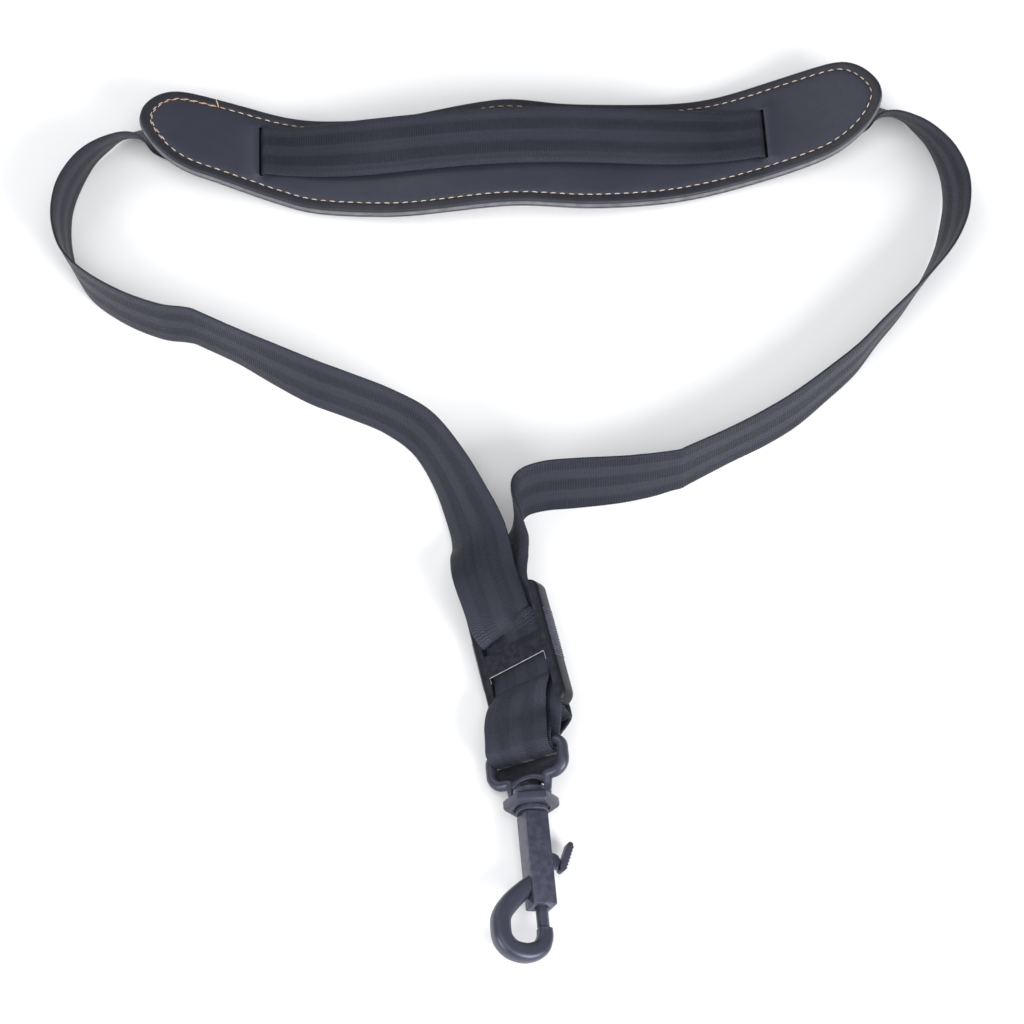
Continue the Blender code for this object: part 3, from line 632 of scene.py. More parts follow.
def lean_stations(route, steps=12):
    """Dense (place, across) pairs of a route of (x, y, z, lean) stations."""
    curve = smooth_curve(route, steps)
    places = [Vector(s[:3]) for s in curve]
    out = []
    for i, here in enumerate(places):
        ahead = heading(places, i)
        left = Vector((-ahead.y, ahead.x, 0.0)).normalized()
        lean = math.radians(curve[i][3])
        out.append((here, ahead.cross(left) * math.cos(lean) + left * math.sin(lean)))
    return out


def row(local, y, z, x=0.0):
    """A row (place, across) that lies straight along a frame's X axis."""
    return (*(local @ Vector((x, y, z))), *local.to_3x3().col[0])


def leaning(place, turn, roll):
    """A row at a place, turned about Z and with its right side raised."""
    across = Vector((math.cos(math.radians(roll)), 0.0, math.sin(math.radians(roll))))
    return (*place, *(Matrix.Rotation(math.radians(turn), 3, "Z") @ across))


def smooth_rows(rows, steps=6):
    """Dense (place, across) pairs through rows."""
    return [(Vector(r[:3]), Vector(r[3:]).normalized()) for r in smooth_curve(rows, steps)]


def as_row(station):
    return (*station[0], *station[1])


def over_pad(u):
    """A row of the run across the pad, which tilts towards the pad's middle, upper edge raised."""
    share = clamp((RUN_TILT_FROM - abs(u)) / RUN_TILT_OVER)
    share = share * share * (3 - 2 * share)
    tilt = math.radians(RUN_TILT * share)
    v = RUN_EDGE - RUN_EDGE_DROP * share + WEB_HALF * math.cos(tilt)
    z = RUN_REST + pad_rise(u) + RUN_LIFT * share + WEB_HALF * math.sin(tilt)
    across = PAD.to_3x3() @ Vector((0.0, -math.cos(tilt), -math.sin(tilt)))
    return (*(PAD @ Vector((u, v, z))), *across)


def slot_stations(side):
    """From the pad's middle over its face, down through a slot and out under it, for one side."""
    rows = [over_pad(side * u) for u in (0.0, 20.0, 40.0, 60.0, 76.0, 90.0, 98.0)]
    for u, z in SLOT_PATH:
        rows.append((*(PAD @ Vector((side * u, RUN_EDGE + WEB_HALF, z))), *(PAD.to_3x3().col[1] * -1.0)))
    return smooth_rows(rows, 8)


def spaced(stations, marks):
    """(place, across) pairs at given distances along dense stations."""
    run = [0.0]
    for (a, _), (b, _) in zip(stations, stations[1:]):
        run.append(run[-1] + (b - a).length)
    out, i = [], 0
    for mark in marks:
        while i < len(run) - 2 and run[i + 1] < mark:
            i += 1
        t = clamp((mark - run[i]) / max(run[i + 1] - run[i], 1e-9))
        (a, across_a), (b, across_b) = stations[i], stations[i + 1]
        out.append((a.lerp(b, t), across_a.lerp(across_b, t).normalized()))
    return out


def length_of(stations):
    return sum((b - a).length for (a, _), (b, _) in zip(stations, stations[1:]))


# Places across the strap, with pairs that frame each of its five bands
COLUMNS = [-12.1, -9.9, -7.65, -7.35, -5.0, -2.65, -2.35, 0.0, 2.35, 2.65, 5.0, 7.35, 7.65, 9.9, 12.1]
RIB_STEPS = ((0.0, 1.0), (0.3, 0.0), (0.7, 0.0))  # share of a rib's pitch, and its valley's share there


def is_ribbed(across, face):
    """Face 0 has ribs along both edges and its middle, and face 1 has them between."""
    band = min(4, int((across + WEB_HALF) / (WEB_HALF * 0.4)))
    return band % 2 == face


def cross_section(front, valley):
    """The strap's outline as (across, up, ribbed, valley) points, where a rib's valley is this deep."""
    ring = []
    for side, face in ((1.0, front), (-1.0, 1 - front)):
        for s in COLUMNS if side > 0 else reversed(COLUMNS):
            ribbed = is_ribbed(s, face)
            low = RIB_DEPTH * valley if ribbed else BAND_RECESS
            ring.append((s, side * (WEB_HALF_THICK - low), ribbed, ribbed * valley))
        for up, edge_face in ((SELVEDGE_UP, face), (-SELVEDGE_UP, 1 - face)):
            ribbed = is_ribbed(SELVEDGE_AT, edge_face)
            notch = SELVEDGE_NOTCH * valley * ribbed
            ring.append((side * (WEB_HALF - notch), side * up, ribbed, 0.5 * valley))
    return ring


def strap(name, stations, front):
    """A length of webbing; front is the face that looks to ahead x across."""
    ribs = round(length_of(stations) / RIB_PITCH)
    pitch = length_of(stations) / ribs
    marks, valleys = [], []
    for k in range(ribs):
        for share, valley in RIB_STEPS:
            marks.append((k + share) * pitch)
            valleys.append(valley)
    marks.append(ribs * pitch)
    valleys.append(1.0)
    rows = spaced(stations, marks)
    places = [at for at, _ in rows]
    points, weave, dips = [], [], []
    for i, (here, across) in enumerate(rows):
        normal = heading(places, i).cross(across).normalized()
        ring = cross_section(front, valleys[i])
        for s, t, ribbed, valley in ring:
            points.append(here + across * s + normal * t)
            weave.append((s, marks[i], float(ribbed)))
            dips.append(float(valley))
    values = {"weave": weave, "valley": dips}
    return add_piece(name, points, skin(len(rows), len(ring)), sharp=60.0, values=values)


def front_rows():
    """The front layer, from the slider's centre bar over a fold and round the eye's crossbar."""
    rows = [leaning(SLIDER @ Vector((x, y, z)), SLIDER_TURN, roll) for x, y, z, roll in LOOP_START]
    rows += [leaning(*part) for part in LOOP_FRONT]
    for angle, grow, turn, roll in LOOP_FOLD:
        y, z = arc((CROSSBAR_Y, 0.0), OUTER_WRAP + grow, angle, angle, 1)[0]
        rows.append(leaning(EYE @ Vector((-0.3, y, z)), turn, roll))
    return rows + under_crossbar()


def under_crossbar():
    return [row(EYE, y, z) for y, z in arc((CROSSBAR_Y, 0.0), OUTER_WRAP, 190, 270, 6)]


def back_rows():
    """The back layer, from the slider's centre bar and round the eye's crossbar to its sewn end."""
    places = ((-12.3, LAYER_BACK, 0.0), (-22.0, LAYER_BACK, -0.1), (-28.5, 0.45, -0.3))
    rows = [row(SLIDER, *place) for place in places]
    rows += [row(EYE, y, z) for y, z in arc((CROSSBAR_Y, 0.0), INNER_WRAP, 262, 98, 10)]
    return [*rows, row(EYE, CROSSBAR_Y + 3.0, INNER_WRAP - 0.3), row(EYE, CROSSBAR_Y + 5.0, INNER_WRAP - 0.9)]


def return_stations():
    """The front layer's return behind it, and its sewn end round the slider's lower bar."""
    wrap = [(-28.5, -5.75), (-25.0, -5.6), (-22.2, -4.9), *arc((-22.9, -2.55), 1.85, -60, 90, 5)]
    wrap += [(-26.4, -0.72), (-28.3, -1.9), (-29.6, -3.6), (-31.5, -4.35)]
    rows = [row(EYE, CROSSBAR_Y + 3.0, -OUTER_WRAP - 0.2), row(SLIDER, -31.6, -5.75, -1.0)]
    return smooth_rows([*under_crossbar()[-2:], *rows, *[row(SLIDER, y, z) for y, z in wrap]])


def build_webbing():
    left_end = [in_slider(10.5, 2.7, 0.0, 58.5), *[in_slider(y, LAYER_FRONT) for y in (8.0, 4.0, 0.0, -6.0)]]
    left_end.append(in_slider(-12.0, 2.6, -0.2, 58.0))
    right_end = [in_slider(y, LAYER_BACK) for y in (31.0, 24.0, 14.0, 2.0, -12.0)]
    pads = {side: slot_stations(side) for side in (-1, 1)}
    cut_at = {side: next(i for i, (at, _) in enumerate(pads[side]) if at.z < UNDER_PAD) for side in (-1, 1)}
    left = pads[-1][cut_at[-1] :] + lean_stations(LEFT_ROUTE + left_end)
    left += smooth_rows([as_row(left[-13]), as_row(left[-1]), *front_rows()])[7:]
    right = pads[1][cut_at[1] :] + lean_stations(RIGHT_ROUTE + right_end)
    right += smooth_rows([as_row(right[-13]), *back_rows()])[7:]
    over = list(reversed(pads[-1][: cut_at[-1] + 1])) + pads[1][1 : cut_at[1] + 1]
    rear = return_stations()

    left_nodes = [f"webbing_left_{part}" for part in ("tail", "turn", "run", "drop")] + ["webbing_hook_loop"]
    right_nodes = [f"webbing_right_{part}" for part in ("tail", "turn", "run", "drop")] + ["webbing_eye_end"]
    for name, stations, nodes in (("webbing_left", left, left_nodes), ("webbing_right", right, right_nodes)):
        made = finish_piece(strap(name, stations, 1), "strap", WEBBING, nodes)
        length = length_of(stations)
        line = [at for at, _ in spaced(stations, [CORD_STEP * k for k in range(int(length / CORD_STEP) + 1)])]
    made = finish_piece(strap("webbing_over_pad", over, 0), "strap", WEBBING, ["webbing_pad_run"])
    made = strap("webbing_return", rear, 1)
    made.data.materials.append(WEBBING)
    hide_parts("webbing_slider_end")
    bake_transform(made)


build_webbing()


# ---------- pad

PAD_TOP_EDGE = [
    (-158.5, -13.5),
    (-156.8, -5.5),
    (-151.0, 1.8),
    (-143.3, 5.6),
    (-133.0, 5.4),
    (-117.3, 2.6),
    (-89.5, -3.9),
    (-50.6, -6.2),
    (-16.0, -2.4),
    (0.0, -1.4),
    (25.0, -4.4),
    (61.5, -3.2),
    (84.0, -0.6),
    (117.8, 7.0),
    (140.6, 9.6),
    (150.2, 5.0),
    (156.4, -4.0),
    (158.5, -11.5),
]
PAD_BOTTOM_EDGE = [
    (-158.5, -13.5),
    (-155.0, -21.0),
    (-148.2, -28.8),
    (-139.1, -34.0),
    (-127.5, -37.0),
    (-116.2, -40.6),
    (-100.7, -46.0),
    (-84.6, -51.0),
    (-53.2, -55.8),
    (-31.9, -56.3),
    (0.0, -55.2),
    (30.8, -56.8),
    (63.9, -53.3),
    (97.1, -45.6),
    (130.2, -38.4),
    (141.5, -34.0),
    (150.8, -27.0),
    (156.4, -19.0),
    (158.5, -11.5),
]


def resampled(line, step):
    """A closed line's points at an even spacing."""
    ring = [Vector(p) for p in line] + [Vector(line[0])]
    run = [0.0]
    for a, b in zip(ring, ring[1:]):
        run.append(run[-1] + (b - a).length)
    count = round(run[-1] / step)
    out, i = [], 0
    for k in range(count):
        mark = run[-1] * k / count
        while run[i + 1] < mark:
            i += 1
        out.append(ring[i].lerp(ring[i + 1], (mark - run[i]) / (run[i + 1] - run[i])))
    return out


def pad_outline(step=2.2):
    """The pad's outline in its own plane, counter-clockwise, with its round ends smoothed."""
    route = PAD_BOTTOM_EDGE[:-1] + list(reversed(PAD_TOP_EDGE))[:-1]
    closed = route[-2:] + route + route[:3]
    dense = smooth_curve(closed, 12)[2 * 12 : (len(route) + 2) * 12]
    ring = resampled([Vector(p) for p in dense], step)
    for _ in range(3):
        ring = [(ring[i - 1] + ring[i] * 2 + ring[(i + 1) % len(ring)]) / 4 for i in range(len(ring))]
    return ring


def inward(ring, distance):
    """A closed counter-clockwise line moved to its inside."""
    out = []
    for i, here in enumerate(ring):
        ahead = heading(ring, i, True)
        out.append(here + Vector((-ahead.y, ahead.x)) * distance)
    return out


def inside(point, ring):
    hit = False
    for i, b in enumerate(ring):
        a = ring[i - 1]
        if (a.y > point.y) != (b.y > point.y):
            hit ^= point.x < (b.x - a.x) * (point.y - a.y) / (b.y - a.y) + a.x
    return hit


def gap_to(point, ring):
    return min((point - other).length for other in ring)


def slot_ring(side, grow=0.0):
    """A webbing slot's outline, counter-clockwise, grown by a distance."""
    (half_u, half_v), middle = SLOT_HALF, Vector((side * (SLOT_AT - 0.1), RUN_EDGE + WEB_HALF))
    out = [middle + Vector(p) for p in round_box(half_u + grow, half_v + grow, half_u + grow, 4)]
    for _ in range(2):
        out = [q for i in range(len(out)) for q in halved(out[i], out[(i + 1) % len(out)])]
    return out


def halved(a, b):
    """A segment's start, and its middle where it is long."""
    return [a, (a + b) / 2] if (b - a).length > 2.0 else [a]


OUTLINE = pad_outline()
SLOTS = [slot_ring(side) for side in (-1, 1)]


def lip_height(point):
    """Leather pushed up outside each slot, pressed down inside it, and puckered at its corners."""
    height = 0.0
    for side in (-1, 1):
        u, v = side * point.x - SLOT_AT, point.y - RUN_MID
        over = max(abs(v) - SLOT_HALF[1], 0.0)
        reach = math.hypot(max(abs(u) - 1.7, 0.0), over)
        if reach < LIP_REACH:
            fade = (1 - reach / LIP_REACH) ** 2
            lift = LIP_STEP * clamp(u / 4.0 + 0.5) - LIP_SINK
            pucker = PUCKER * math.sin(v * 0.9 + side) * fade * (0.4 + 0.6 * min(abs(v) / SLOT_HALF[1], 1.0))
            height += lift * fade * (1 - min(over / 5.0, 1.0)) + pucker
    return height


# The leather's edge, stitch groove and padded face: (depth in from the outline, height)
LEATHER_EDGE = [
    (0.0, -0.62),
    (0.3, -0.26),
    (0.8, -0.06),
    (1.6, 0.06),
    (2.8, 0.04),
    (3.6, -0.12),
    (4.2, -0.42),
    (4.8, -0.1),
    (5.8, 0.16),
    (8.0, 0.36),
    (14.0, 0.5),
]


def leather_height(point, depth):
    """Height of the leather's face over the pad's underside."""
    ripple = 0.12 * math.sin(point.x * 0.11) * math.sin(point.y * 0.17 + 1.0)
    height = PAD_BASE + pad_rise(point.x) + LEATHER_TOP + between(LEATHER_EDGE, depth)
    return height + min(depth / 8.0, 1.0) * (lip_height(point) + ripple)


def fill_points(spacing, inset):
    """An even triangular grid between the pad's innermost ring and its slots."""
    rim = inward(OUTLINE, inset + spacing * 0.6)
    near = [slot_ring(side, SLOT_RINGS[-1] + spacing * 0.6) for side in (-1, 1)]
    out = []
    for j in range(int(80 / (spacing * 0.866))):
        for i in range(int(330 / spacing)):
            at = Vector((-165 + spacing * (i + 0.5 * (j % 2)), -62 + spacing * 0.866 * j))
            if inside(at, rim) and not any(inside(at, n) for n in near):
                out.append(at)
    return out


def boundary(faces):
    """Directed edges that belong to one face only."""
    edges = dict.fromkeys((a, b) for face in faces for a, b in zip(face, face[1:] + face[:1]))
    return [(a, b) for a, b in edges if (b, a) not in edges]


def pushed(point, ring, distance):
    """A point of a ring moved straight outward."""
    if not distance:
        return point
    ahead = heading(ring, min(range(len(ring)), key=lambda k: (ring[k] - point).length), True)
    return point + Vector((ahead.y, -ahead.x)) * distance


def slab(name, rings, lower, upper, spacing, bulge=0.0):
    """A closed layer of the pad with both slots, from inset rings and two height functions."""
    outer = inward(OUTLINE, rings[0])
    loops = [inward(OUTLINE, inset) for inset in rings]
    depths = [inset - rings[0] for inset in rings for _ in OUTLINE]
    loops += [slot_ring(side, grow) for side in (-1, 1) for grow in SLOT_RINGS]
    points = [p for loop in loops for p in loop] + fill_points(spacing, rings[-1])
    depths += [gap_to(p, OUTLINE) - rings[0] for p in points[len(depths) :]]
    edges, start = [], 0
    for loop in loops:
        edges += [(start + i, start + (i + 1) % len(loop)) for i in range(len(loop))]
        start += len(loop)
    flat, _, faces, origin, _, _ = delaunay_2d_cdt(points, edges, [], 0, 1e-4)
    depth = [depths[o[0]] if o else gap_to(p, OUTLINE) - rings[0] for o, p in zip(origin, flat)]
    kept = []
    for face in faces:
        middle = sum((flat[i] for i in face), Vector((0, 0))) / len(face)
        if inside(middle, outer) and not any(inside(middle, slot) for slot in SLOTS):
            kept.append(face)
    count = len(flat)
    verts = [(p.x, p.y, upper(p, d)) for p, d in zip(flat, depth)]
    verts += [(p.x, p.y, lower(p, d)) for p, d in zip(flat, depth)]
    skins = [tuple(f) for f in kept] + [tuple(i + count for i in reversed(f)) for f in kept]
    edge_share = [1.0 - clamp((d - RIM_WIDTH) / RIM_FADE) for d in depth] * 2
    middles = {}
    for a, b in boundary(kept):
        for i in (a, b):
            if i not in middles:
                middles[i] = len(verts)
                at = pushed(flat[i], outer, bulge if depth[i] < 1e-6 else 0.0)
                verts.append((at.x, at.y, (verts[i][2] + verts[i + count][2]) / 2))
                edge_share.append(1.0)
        skins += [(b, a, middles[a], middles[b]), (middles[b], middles[a], a + count, b + count)]
    used = sorted({i for f in skins for i in f})
    index = {old: new for new, old in enumerate(used)}
    skins = [tuple(index[i] for i in f) for f in skins]
    values = {"edge": [edge_share[i] for i in used]}
    return add_piece(name, [verts[i] for i in used], skins, PAD, 50.0, values)


def rounded(level, drop):
    """A layer's face that falls away towards its edge."""

    def height(point, depth):
        return PAD_BASE + pad_rise(point.x) + level + drop * (1 - min(depth / 1.2, 1.0)) ** 2

    return height


def stitch(path):
    """Points of one raised stitch through places on the leather, with both ends sunk into it."""
    points = []
    for i, here in enumerate(path):
        swell = math.sin(math.pi * (i / (len(path) - 1)))
        ahead = heading(path, i)
        side = ahead.cross(UP).normalized()
        rise = side.cross(ahead)
        size = STITCH_RADIUS * (0.55 + 0.45 * swell**0.5)
        middle = here + UP * (STITCH_LIFT * swell - STITCH_SINK)
        points += [middle + (side * c * 1.15 + rise * s) * size for c, s in circle(THREAD_SIDES)]
    return points


def build_stitches():
    rng = random.Random(7)
    ring = resampled(inward(OUTLINE, STITCH_INSET), STITCH_STEP)
    pitch = round(STITCH_PITCH / STITCH_STEP)
    count = len(ring) // pitch
    starts = [(k * len(ring) / count, 0.0) for k in range(count)]
    tail_at = min(range(len(ring)), key=lambda i: (ring[i] - Vector(TAIL_AT)).length)
    starts += [(tail_at + pitch * (k + 0.5), 0.3 + 0.03 * k) for k in range(SECOND_ROW)]
    half = (STITCH_PLACES - 1) / 2
    points, faces, tones = [], [], []
    for begin, aside in starts:
        skew = rng.uniform(-0.12, 0.12)
        at = ring[int(begin) % len(ring)]
        # Thread tone set by place: darkest tan at the top left, paler further down the pad.
        tone_and_highlight = 0.75 if at.x < -112.0 and at.y > -1.0 else 0.3 if at.y > -20.0 else 0.08
        tone = clamp(rng.gauss(tone_and_highlight, 0.22))
        path = []
        for k in range(STITCH_PLACES):
            i = int(begin + k) % len(ring)
            ahead = heading(ring, i, True)
            at = ring[i] + Vector((-ahead.y, ahead.x)) * (aside + skew * (k - half) / half)
            path.append(Vector((at.x, at.y, leather_height(at, STITCH_INSET + 1.0) + 0.02)))
        faces += moved(skin(STITCH_PLACES, THREAD_SIDES), len(points))
        points += stitch(path)
        tones += [tone] * (STITCH_PLACES * THREAD_SIDES)
    made = add_piece("pad_stitches", points, faces, PAD, 60.0, {"tone": tones})
    finish_piece(made, "strap", THREAD, ["pad_stitch_thread"])
    build_thread_tail(ring[tail_at])


def build_thread_tail(base):
    """The stitch line's loose end, which stands up from the leather."""
    height = leather_height(base, STITCH_INSET)
    path = [(base.x, base.y, height - 0.6), (base.x + 0.2, base.y + 0.2, height + 0.6)]
    path += [(base.x - 0.1, base.y + 1.0, height + 1.8), (base.x - 0.6, base.y + 2.2, height + 2.6)]
    curve = [Vector(p) for p in smooth_curve(path, 4)]
    points = []
    for i, here in enumerate(curve):
        wide = 0.26 if i < len(curve) - 2 else 0.16
        points += [here + Vector((c, s * 0.8, s * 0.4)) * wide for c, s in circle(THREAD_SIDES)]
    values = {"tone": [0.9] * len(points)}
    tail = add_piece("pad_thread_tail", points, skin(len(curve), THREAD_SIDES), PAD, 60.0, values)
    finish_piece(tail, "strap", THREAD)


def build_pad():
    rings = [d for d, _ in LEATHER_EDGE[:-1]]
    leather = slab("pad_leather", rings, rounded(FOAM_TOP, 0.0), leather_height, 3.4)
    low, high = rounded(LINING_TOP, 0.15), rounded(FOAM_TOP, -0.1)
    foam = slab("pad_foam", [0.25, 0.8, 1.8], low, high, 9.0, 0.8)
    low, high = rounded(0.0, 0.3), rounded(LINING_TOP, -0.05)
    lining = slab("pad_lining_cloth", [0.0, 0.5, 1.4], low, high, 9.0, 0.1)
    finish_piece(leather, "strap", LEATHER, ["pad_leather_face"])
    finish_piece(foam, "strap", FOAM, ["pad_foam_core"])
    finish_piece(lining, "strap", LINING, ["pad_lining"])
    build_stitches()


build_pad()


# ---------- slider


def build_slider():
    half_w, half_l = SLIDER_HALF
    outline = round_box(half_w, half_l, SLIDER_CORNER, 8)
    made = extruded("slider_body", outline, SLIDER_BACK, SLIDER_FRONT, SLIDER)
    soften(made, 1.3, 4)
    low, high = SLIDER_BACK - 1, SLIDER_FRONT + 1
    windows = {
        "slot_upper": ((4.7, low), (22.0, high)),
        "slot_lower": ((-22.0, low), (-4.7, high)),
        "channel": ((-5.2, low), (5.2, 2.65)),
        "step_upper": ((21.5, -1.5), (half_l + 1, high)),
        "step_lower": ((-half_l - 1, -1.5), (-21.5, high)),
    }
    for name, ((y0, z0), (y1, z1)) in windows.items():
        carve(made, block(name, (-13.0, y0, z0), (13.0, y1, z1), SLIDER))
    soften(made, 0.22, 2, 50.0)
    finish_piece(settle(made), "slider", SLIDER_PLASTIC, ["slider"])
    points, faces = [], []
    for side in (-1, 1):
        for k in range(GRIP_RIBS):
            faces += moved(skin(4, 7), len(points))
            for z, size in ((-2.9, 0.1), (-2.5, 0.5), (3.0, 0.5), (3.4, 0.1)):
                for j in range(7):
                    angle = math.pi * (j / 6 - 0.5)
                    x = side * (half_w - 0.12 + size * math.cos(angle))
                    points.append((x, GRIP_TOP - GRIP_PITCH * k + 0.36 * math.sin(angle), z))
    grips = add_piece("slider_grips", points, faces, SLIDER, 50.0)
    finish_piece(grips, "slider", PLASTIC)
    # A thin light grey bar along the lower edge of the centre bar: a painted highlight of the edge's round.
    line = [(-12.7, -7.4, 3.95), (-12.75, -4.85, 4.0), (12.7, -4.8, 4.0), (12.85, -8.4, 3.95)]
    tone_and_highlight = bar("slider_painted_highlight", line, 0.18, SLIDER, 8)
    finish_piece(tone_and_highlight, "slider", EDGE_HIGHLIGHT)


build_slider()


# ---------- swivel eye


def build_eye():
    arm, top, half = 15.4, -10.2, 7.6  # the ring's half width, its lower end, and the socket's half width
    socket_top, socket_end = -15.2, -17.6
    right = arc((arm - 3.0, CROSSBAR_Y - 3.0), 3.0, 90, 0, 8)
    right += arc((arm - 5.0, top + 5.0), 5.0, 0, -90, 12)
    right += arc((half + 1.5, top - 1.5), 1.5, 90, 180, 6)
    right += [(half, socket_end + 1.0)]
    ring = [(x, y, 0.0) for x, y in right + [(-x, y) for x, y in reversed(right)]]
    eye = bar("swivel_eye_ring", ring, 2.2, EYE, 24, True)
    carve(eye, turned("base", [(socket_top, 6.6), (socket_end, 6.6)], EYE, 48), "UNION")
    carve(eye, block("trim", (-20, socket_end - 6, -9), (20, socket_end, 9), EYE))
    bore = [(top - 0.6, 5.3), (socket_top, 5.3), (socket_top, 2.4), (socket_end - 1, 2.4)]
    carve(eye, turned("bore", bore, EYE, 48))
    bridge = [(x, y, 0.0) for x, y in arc((0.0, -21.0), 11.0, 130, 50, 16)]
    carve(eye, bar("bridge", bridge, 1.7, EYE, 20), "UNION")
    soften(eye, 0.25, 2, 45.0)
    finish_piece(settle(eye, 50.0), "eye", PLASTIC, ["swivel_eye"])
    # A dark plate in the slider's darker plastic, which fills the gap between the webbing's fold and the
    # ring's lower bar: painted shade where the webbing's underside lies in shadow.
    shade_plate = block("swivel_eye_shade_plate", (1.0 - arm, top, -1.3), (arm - 1.0, -3.5, 0.7), EYE)
    soften(shade_plate, 0.12, 2)
    finish_piece(settle(shade_plate), "eye", SLIDER_PLASTIC)
    head = socket_top + 0.3
    profile = [(head + 3.0, 0.01), (head + 3.0, 3.2), (head + 2.8, 4.1), (head + 2.3, 4.75)]
    profile += [(head + 1.6, 5.0), (head + 0.4, 5.0), (head, 4.8), (head, 2.1), (-27.6, 2.1), (-27.6, 0.01)]
    rivet = turned("swivel_rivet_pin", profile, HOOK)
    finish_piece(rivet, "hook", SLIDER_PLASTIC, ["swivel_rivet"])

    start, end, radius = socket_end - 0.3, -22.6, 9.25 / math.cos(math.radians(30))
    profile = [(start, radius - 1.0), (start - 0.9, radius), (end + 0.9, radius), (end, radius - 0.9)]
    collar = turned("swivel_hex", profile, EYE @ Matrix.Rotation(math.radians(30), 4, "Y"), 6, 20.0)
    carve(collar, turned("collar_bore", [(start + 1, 2.4), (end - 1, 2.4)], EYE, 48))
    carve(collar, turned("collar_dish", [(end + 0.8, 6.9), (end - 1, 6.9)], EYE, 48))
    soften(collar, 0.3, 3, 20.0)
    finish_piece(settle(collar, 30.0), "eye", PLASTIC, ["swivel_collar"])
    start, end = end - 0.3, -24.2
    profile = [(start + 0.7, 2.5), (start + 0.7, 5.9), (start + 0.5, 6.2), (end + 0.3, 6.2), (end, 5.9)]
    washer = turned("swivel_ring", [*profile, (end, 2.5), profile[0]], HOOK)
    finish_piece(washer, "hook", PLASTIC, ["swivel_washer"])


build_eye()


# ---------- hook

# The bent arm's stations: (x, y, half width, half depth)
HOOK_ARM = [
    (-2.0, -51.5, 3.0, 3.9),
    (-6.4, -54.6, 3.4, 3.9),
    (-12.4, -60.0, 3.7, 3.9),
    (-16.2, -65.0, 3.6, 3.8),
    (-17.0, -70.0, 3.6, 3.7),
    (-16.4, -74.6, 3.6, 3.7),
    (-13.2, -78.2, 3.6, 3.6),
    (-7.6, -79.4, 3.6, 3.5),
    (-2.4, -77.6, 3.4, 3.4),
    (0.0, -73.6, 3.0, 3.1),
    (0.4, -69.9, 2.8, 3.0),
]


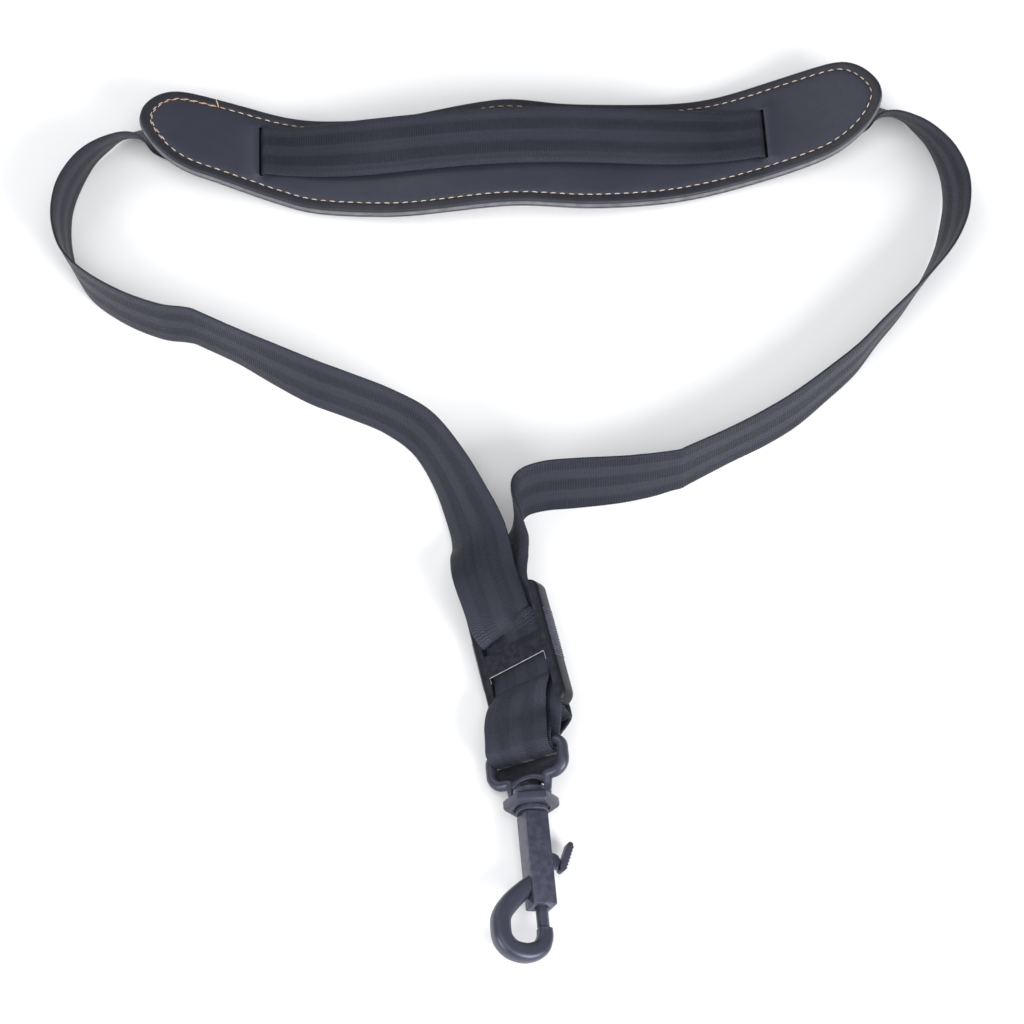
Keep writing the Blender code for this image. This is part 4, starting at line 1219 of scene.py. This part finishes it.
def build_hook():
    half, start, end = 4.75, -24.5, -61.6
    hook = block("hook_barrel", (-half, end, -half), (half, start, half), HOOK)
    soften(hook, 0.7, 2)
    stations = smooth_curve(HOOK_ARM, 6)
    points, sides = [], 32
    for i, (x, y, half_w, half_d) in enumerate(stations):
        x0, y0 = stations[max(i - 1, 0)][:2]
        x1, y1 = stations[min(i + 1, len(stations) - 1)][:2]
        length = math.hypot(x1 - x0, y1 - y0)
        nx, ny = -(y1 - y0) / length, (x1 - x0) / length
        for c, s in circle(sides, 0.5):
            swell = 1 / (abs(c) ** 3 + abs(s) ** 3) ** (1 / 3)
            points.append((x + nx * c * swell * half_w, y + ny * c * swell * half_w, s * swell * half_d))
    arm = add_piece("arm", points, skin(len(stations), sides), HOOK, 60.0)
    carve(hook, arm, "UNION")
    carve(hook, turned("bore", [(-29.0, 2.65), (end - 8.2, 2.65)], HOOK, 48))
    carve(hook, turned("shank_bore", [(start + 1, 2.4), (-27.9, 2.4)], HOOK, 32))
    carve(hook, block("lever_slot", (0.5, -46.2, -1.6), (half + 1, -31.6, 1.6), HOOK))
    soften(hook, 0.2, 2, 55.0)
    finish_piece(settle(hook, 40.0), "hook", PLASTIC, ["hook_body"])

    profile = [(-39.4, 0.01), (-39.4, 2.1), (-39.7, 2.35), (-69.2, 2.35), (-69.6, 2.0), (-69.6, 0.01)]
    bolt = turned("bolt_pin", profile, HOOK)
    finish_piece(bolt, "bolt", PLASTIC, ["hook_bolt"])
    outline = [(2.65, -40.2), (6.6, -40.2), (8.2, -41.0), (9.6, -43.6), (7.8, -46.2)]
    outline += [(6.2, -45.6), (2.65, -45.6)]
    stalk = extruded("lever_stalk", outline, -1.2, 1.2, HOOK)
    lean = math.atan2(11.4, 4.9)
    knob = []
    for side in (1, -1):
        knob += [(side * 5.1 + a * side, b * side) for a, b in arc((0, 0), 1.15, -90, 90, 10)]
    centre = Vector((11.45, -41.5))
    turn = Matrix.Rotation(lean, 2)
    pad = extruded("lever_knob", [centre + turn @ Vector(p) for p in knob], -2.0, 2.0, HOOK)
    carve(stalk, pad, "UNION")
    for k in range(7):
        at = centre + turn @ Vector((-4.5 + 1.5 * k, -1.1))
        tooth = [(at.x + p[0], at.y + p[1]) for p in arc((0, 0), 0.5, 0, 330, 11)]
        carve(stalk, extruded("tooth", tooth, -1.9, 1.9, HOOK), "UNION")
    soften(stalk, 0.35, 2, 50.0)
    finish_piece(settle(stalk, 40.0), "bolt", PLASTIC, ["thumb_lever"])
    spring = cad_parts["bolt_spring"]
    spring.data.materials.clear()
    spring.data.materials.append(STEEL)


build_hook()


# ---------- stage


FLOOR_HALF = 3.0
LAMPS = [  # name, place in metres, size, watts
    ("key", (1.0, -1.05, 0.7), 0.8, 36.0),
    ("front_left", (-1.0, -0.9, 0.6), 0.8, 15.0),
    ("back_left", (-0.8, 0.8, 1.0), 0.9, 6.0),
    ("top", (0.0, -0.5, 1.5), 1.2, 10.0),
]


def build_stage():
    mesh = bpy.data.meshes.new("floor")
    corners = [(x * FLOOR_HALF, y * FLOOR_HALF, 0) for x, y in ((-1, -1), (1, -1), (1, 1), (-1, 1))]
    mesh.from_pydata(corners, [], [(0, 1, 2, 3)])
    p = Paint("floor_paper", 0.8, specular=0.2)
    mesh.materials.append(p.dress(p.mix(p.noise(3.0), (0.84, 0.84, 0.85), (0.86, 0.86, 0.87))))
    floor = add_object("floor", mesh)
    world = bpy.data.worlds.new("studio")
    world.use_nodes = True
    world.node_tree.nodes["Background"].inputs["Color"].default_value = (0.95, 0.97, 1.0, 1.0)
    world.node_tree.nodes["Background"].inputs["Strength"].default_value = 0.36
    bpy.context.scene.world = world
    bpy.context.scene.view_settings.view_transform = "Standard"
    for name, at, size, power in LAMPS:
        data = bpy.data.lights.new(name, "AREA")
        data.size = size
        data.energy = power
        aim(add_object(name, data), at, Vector((0.0, 0.0, 0.0)))


build_stage()
